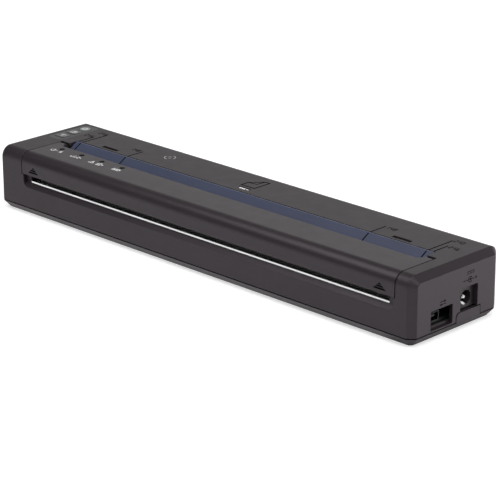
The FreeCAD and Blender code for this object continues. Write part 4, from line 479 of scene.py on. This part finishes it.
icons = [(moved(icon, x, ICON_Y, 0, ICON_SIZE), on_deck, UP)
         for icon, x in zip((power, data, warning, battery), ICON_X)]
print_and_shade_piece("lamp_icons", icons, "cover", "white_ink")

# Key icons: feed a sheet, choose a mode, power
feed = bar(-1.5, 0.9, 1.5, 1.2) + bar(-0.16, -1.3, 0.16, 0.2) + [[(-0.7, -0.2), (0.7, -0.2), (0, 0.7)]]
mode = ribbon([(-1.4, -1.1), (0.5, -1.1), (0.5, 0.6), (-1.4, 0.6)], 0.28, True)
mode += ribbon([(-0.6, 1.2), (1.3, 1.2), (1.3, -0.5)], 0.28)
print_and_shade_piece("feed_icon", [(moved(feed, KEY_X, KEY_Y[0]), on_keys, UP)], "feed_key", "white_ink")
print_and_shade_piece("mode_icon", [(moved(mode, KEY_X, KEY_Y[1]), on_keys, UP)], "mode_key", "white_ink")
on_off = ring(0, 0, 1.15, 0.3, 120, 420, 20) + bar(-0.15, 0.3, 0.15, 1.6)
print_and_shade_piece("power_icon", [(moved(on_off, KEY_X, KEY_Y[2]), on_keys, UP)], "power_key", "white_ink")

# Lift marks at the ends of the cover's front edge: triangles of three bars
lifts = []
for x in LIFT_X:
    for low, high in ((0.0, 0.75), (1.05, 1.75), (2.05, 2.85)):
        half_low = LIFT_HALF * (1 - low / LIFT_HEIGHT)
        half_high = LIFT_HALF * (1 - high / LIFT_HEIGHT)
        stroke = [(x - half_low, LIFT_Z + low), (x + half_low, LIFT_Z + low),
                  (x + half_high, LIFT_Z + high), (x - half_high, LIFT_Z + high)]
        lifts.append(([stroke], on_front, (0, -1, 0)))
print_and_shade_piece("lift_marks", lifts, "cover", "dark_ink_and_painted_shade")

# Socket signs: polarity and direct current over the power socket, arrows over the data socket
polarity = ring(0, 0, 1.0, 0.26, 30, 330, 20) + dot(0, 0, 0.42) + bar(0.4, -0.13, 2.2, 0.13)
polarity += bar(-2.2, -0.13, -1.1, 0.13) + bar(2.5, -0.13, 3.7, 0.13) + bar(2.97, -0.6, 3.23, 0.6)
polarity += bar(-3.7, -0.13, -2.5, 0.13)
direct = bar(-2.2, 0.35, 2.2, 0.65)
for start in (-2.2, -0.6, 1.0):
    direct += bar(start, -0.5, start + 1.2, -0.2)
arrows = bar(-1.9, 0.45, 1.1, 0.75) + [[(0.8, 0.05), (2.0, 0.6), (0.8, 1.15)]]
arrows += bar(-1.1, -0.75, 1.9, -0.45) + [[(-0.8, -1.15), (-2.0, -0.6), (-0.8, -0.05)]]
signs = [(moved(polarity, 7.6, 20.8, 0, 1.15), on_end, (1, 0, 0)),
         (moved(direct, 7.9, 23.7), on_end, (1, 0, 0)),
         (moved(arrows, -9.0, 15.3), on_end, (1, 0, 0))]
print_and_shade_piece("socket_signs", signs, "housing", "dark_ink_and_painted_shade")

# Sprung sleeve contact, a crescent of bent strip low in the mouth of the power socket
spring = bmesh.new()
SPRING_STEPS = 12
SPRING_START, SPRING_TURN = 198.0, 82.0
SPRING_LENGTH = 1.6
SPRING_OUTER = DC_HOLE_RADIUS - 0.02
rows = []
for i in range(SPRING_STEPS + 1):
    angle = math.radians(SPRING_START + SPRING_TURN * i / SPRING_STEPS)
    inner = DC_HOLE_RADIUS - 0.15 - math.sin(math.pi * i / SPRING_STEPS)
    row = []
    for x, radius in ((0, SPRING_OUTER), (0, inner), (-SPRING_LENGTH, inner + 0.1),
                      (-SPRING_LENGTH, SPRING_OUTER)):
        place = Vector((x, radius * math.cos(angle), radius * math.sin(angle)))
        row.append(spring.verts.new((Vector(DC_HOLE) + place) * MM))
    rows.append(row)
for first, second in zip(rows, rows[1:]):
    for i in range(4):
        spring.faces.new((first[i], first[(i + 1) % 4], second[(i + 1) % 4], second[i]))
spring.faces.new(rows[0][::-1])
spring.faces.new(rows[-1])
bmesh.ops.recalc_face_normals(spring, faces=spring.faces)
spring_data = bpy.data.meshes.new("dc_spring")
spring.to_mesh(spring_data)
spring.free()
spring_data.materials.append(looks["contact"])
dc_spring = bpy.data.objects.new("dc_spring", spring_data)
bpy.context.scene.collection.objects.link(dc_spring)
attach(dc_spring, "housing")


# Floor, light and camera

floor_mesh = bmesh.new()
bmesh.ops.create_grid(floor_mesh, x_segments=2, y_segments=2, size=6.0)
floor_data = bpy.data.meshes.new("floor")
floor_mesh.to_mesh(floor_data)
floor_mesh.free()
floor = bpy.data.objects.new("floor", floor_data)
bpy.context.scene.collection.objects.link(floor)


# Glow of the floor: in gloss, in gloss under the printer, and as the camera sees it
GLOSS_GLOW = 0.18
UNDER_GLOW = 0.40
SEEN_GLOW = 0.55


def light_path(tree, *names):
    """1 for rays of any of the named kinds."""
    path = tree.nodes.new("ShaderNodeLightPath")
    total = path.outputs[names[0]]
    for name in names[1:]:
        total = combined(tree, "MAXIMUM", total, path.outputs[name])
    return total


floor_look = bpy.data.materials.new("pale_floor")
floor_look.use_nodes = True
tree = floor_look.node_tree
tree.nodes.clear()
matt = tree.nodes.new("ShaderNodeBsdfDiffuse")
paper = ramp(tree, noise(tree, coordinates(tree), 12.0), [(0.2, (0.60,) * 3), (0.8, (0.62,) * 3)])
tree.links.new(paper, matt.inputs["Color"])
glow = tree.nodes.new("ShaderNodeEmission")
# Gloss shows a dim floor, brighter under the printer's front edge
spot = tree.nodes.new("ShaderNodeSeparateXYZ")
tree.links.new(coordinates(tree), spot.inputs[0])
under = combined(tree, "MULTIPLY", span(tree, spot.outputs["X"], 0, UNDER_GLOW, 0.118, 0.108),
                 span(tree, spot.outputs["Y"], 0, 1, -0.032, -0.026))
in_gloss = combined(tree, "MULTIPLY", light_path(tree, "Is Glossy Ray"),
                    span(tree, under, GLOSS_GLOW, GLOSS_GLOW + 1))
in_view = span(tree, light_path(tree, "Is Camera Ray", "Is Transmission Ray"), 0.0, SEEN_GLOW)
tree.links.new(combined(tree, "ADD", in_gloss, in_view), glow.inputs["Strength"])
both = tree.nodes.new("ShaderNodeAddShader")
tree.links.new(matt.outputs[0], both.inputs[0])
tree.links.new(glow.outputs[0], both.inputs[1])
# Seen from below, the floor lets the printer's underside show
facing = tree.nodes.new("ShaderNodeNewGeometry")
clear = tree.nodes.new("ShaderNodeBsdfTransparent")
one_sided = tree.nodes.new("ShaderNodeMixShader")
tree.links.new(facing.outputs["Backfacing"], one_sided.inputs[0])
tree.links.new(both.outputs[0], one_sided.inputs[1])
tree.links.new(clear.outputs[0], one_sided.inputs[2])
out = tree.nodes.new("ShaderNodeOutputMaterial")
tree.links.new(one_sided.outputs[0], out.inputs["Surface"])
floor_data.materials.append(floor_look)

world = bpy.data.worlds.new("studio")
bpy.context.scene.world = world
world.use_nodes = True
tree = world.node_tree
tree.nodes.clear()


def background(tree, colour, strength=1.0):
    node = tree.nodes.new("ShaderNodeBackground")
    node.inputs["Color"].default_value = (*colour, 1)
    node.inputs["Strength"].default_value = strength
    return node


def mixed(tree, factor, first, second):
    node = tree.nodes.new("ShaderNodeMixShader")
    tree.links.new(factor, node.inputs[0])
    tree.links.new(first.outputs[0], node.inputs[1])
    tree.links.new(second.outputs[0], node.inputs[2])
    return node


# Gloss shows a white sweep low down behind the printer, fading to the sides, and a darker room elsewhere
direction = tree.nodes.new("ShaderNodeTexCoord")
split = tree.nodes.new("ShaderNodeSeparateXYZ")
tree.links.new(direction.outputs["Generated"], split.inputs[0])
low_down = ramp(tree, split.outputs["Z"], [(0.33, (1, 1, 1)), (0.60, (0, 0, 0))])
behind = span(tree, split.outputs["Y"], 0.0, 1.0, -0.35, 0.35)
across = span(tree, split.outputs["X"], 0.0, 1.0, -1.0, 1.0)
across = ramp(tree, across, [(0.08, (0.5,) * 3), (0.25, (1,) * 3), (0.5, (0.8,) * 3), (0.72, (0.12,) * 3)])
sweep = combined(tree, "MULTIPLY", combined(tree, "MULTIPLY", low_down, behind), across)
in_gloss = mixed(tree, sweep, background(tree, (1, 1, 1), 0.08), background(tree, (1, 1, 1), 1.18))
room = background(tree, (0.97, 0.98, 1.0), 0.6)
lit = mixed(tree, light_path(tree, "Is Glossy Ray"), room, in_gloss)
white = background(tree, (1, 1, 1))
mix = mixed(tree, light_path(tree, "Is Camera Ray", "Is Transmission Ray"), lit, white)
out = tree.nodes.new("ShaderNodeOutputWorld")
tree.links.new(mix.outputs[0], out.inputs["Surface"])


def lamp(name, place, target, size, watts):
    data = bpy.data.lights.new(name, "AREA")
    data.shape = "RECTANGLE"
    data.size, data.size_y = size
    data.energy = watts
    piece = bpy.data.objects.new(name, data)
    bpy.context.scene.collection.objects.link(piece)
    piece.location = place
    piece.rotation_euler = (Vector(target) - Vector(place)).to_track_quat("-Z", "Y").to_euler()
    return piece


lamp("key_light", (0.9, -0.3, 1.7), (0, 0, 0), (1.2, 1.2), 17.0)
lamp("fill_light", (0.3, -1.45, 0.9), (0, 0, 0), (1.0, 1.0), 3.0)
lamp("near_softbox", (-0.10, -0.16, 0.32), (0.06, -0.02, 0.03), (0.22, 0.22), 0.4)
lamp("side_light", (1.2, 0.9, 0.14), (0.1, 0, 0.02), (0.8, 0.22), 9.5)

# Camera: the photograph's viewing direction, distance and field of view
AIM = Vector((11.06, 0.0, 5.74)) * MM
AZIMUTH, ELEVATION, ROLL = (math.radians(a) for a in (44.89, 19.84, -0.19))
DISTANCE = 957.4 * MM
back = Vector((math.sin(AZIMUTH) * math.cos(ELEVATION), -math.cos(AZIMUTH) * math.cos(ELEVATION),
               math.sin(ELEVATION)))
right = Vector((math.cos(AZIMUTH), math.sin(AZIMUTH), 0))
above = back.cross(right)
rolled_right = right * math.cos(ROLL) + above * math.sin(ROLL)
rolled_up = above * math.cos(ROLL) - right * math.sin(ROLL)
camera_data = bpy.data.cameras.new("camera")
camera_data.lens = 158.8
camera_data.sensor_width = 36.0
camera_data.clip_start = 0.01
camera_data.clip_end = 50.0
camera = bpy.data.objects.new("camera", camera_data)
bpy.context.scene.collection.objects.link(camera)
turn = Matrix((rolled_right, rolled_up, back)).transposed().to_4x4()
camera.matrix_world = Matrix.Translation(AIM + back * DISTANCE) @ turn
bpy.context.scene.camera = camera
bpy.context.scene.view_settings.view_transform = "Standard"
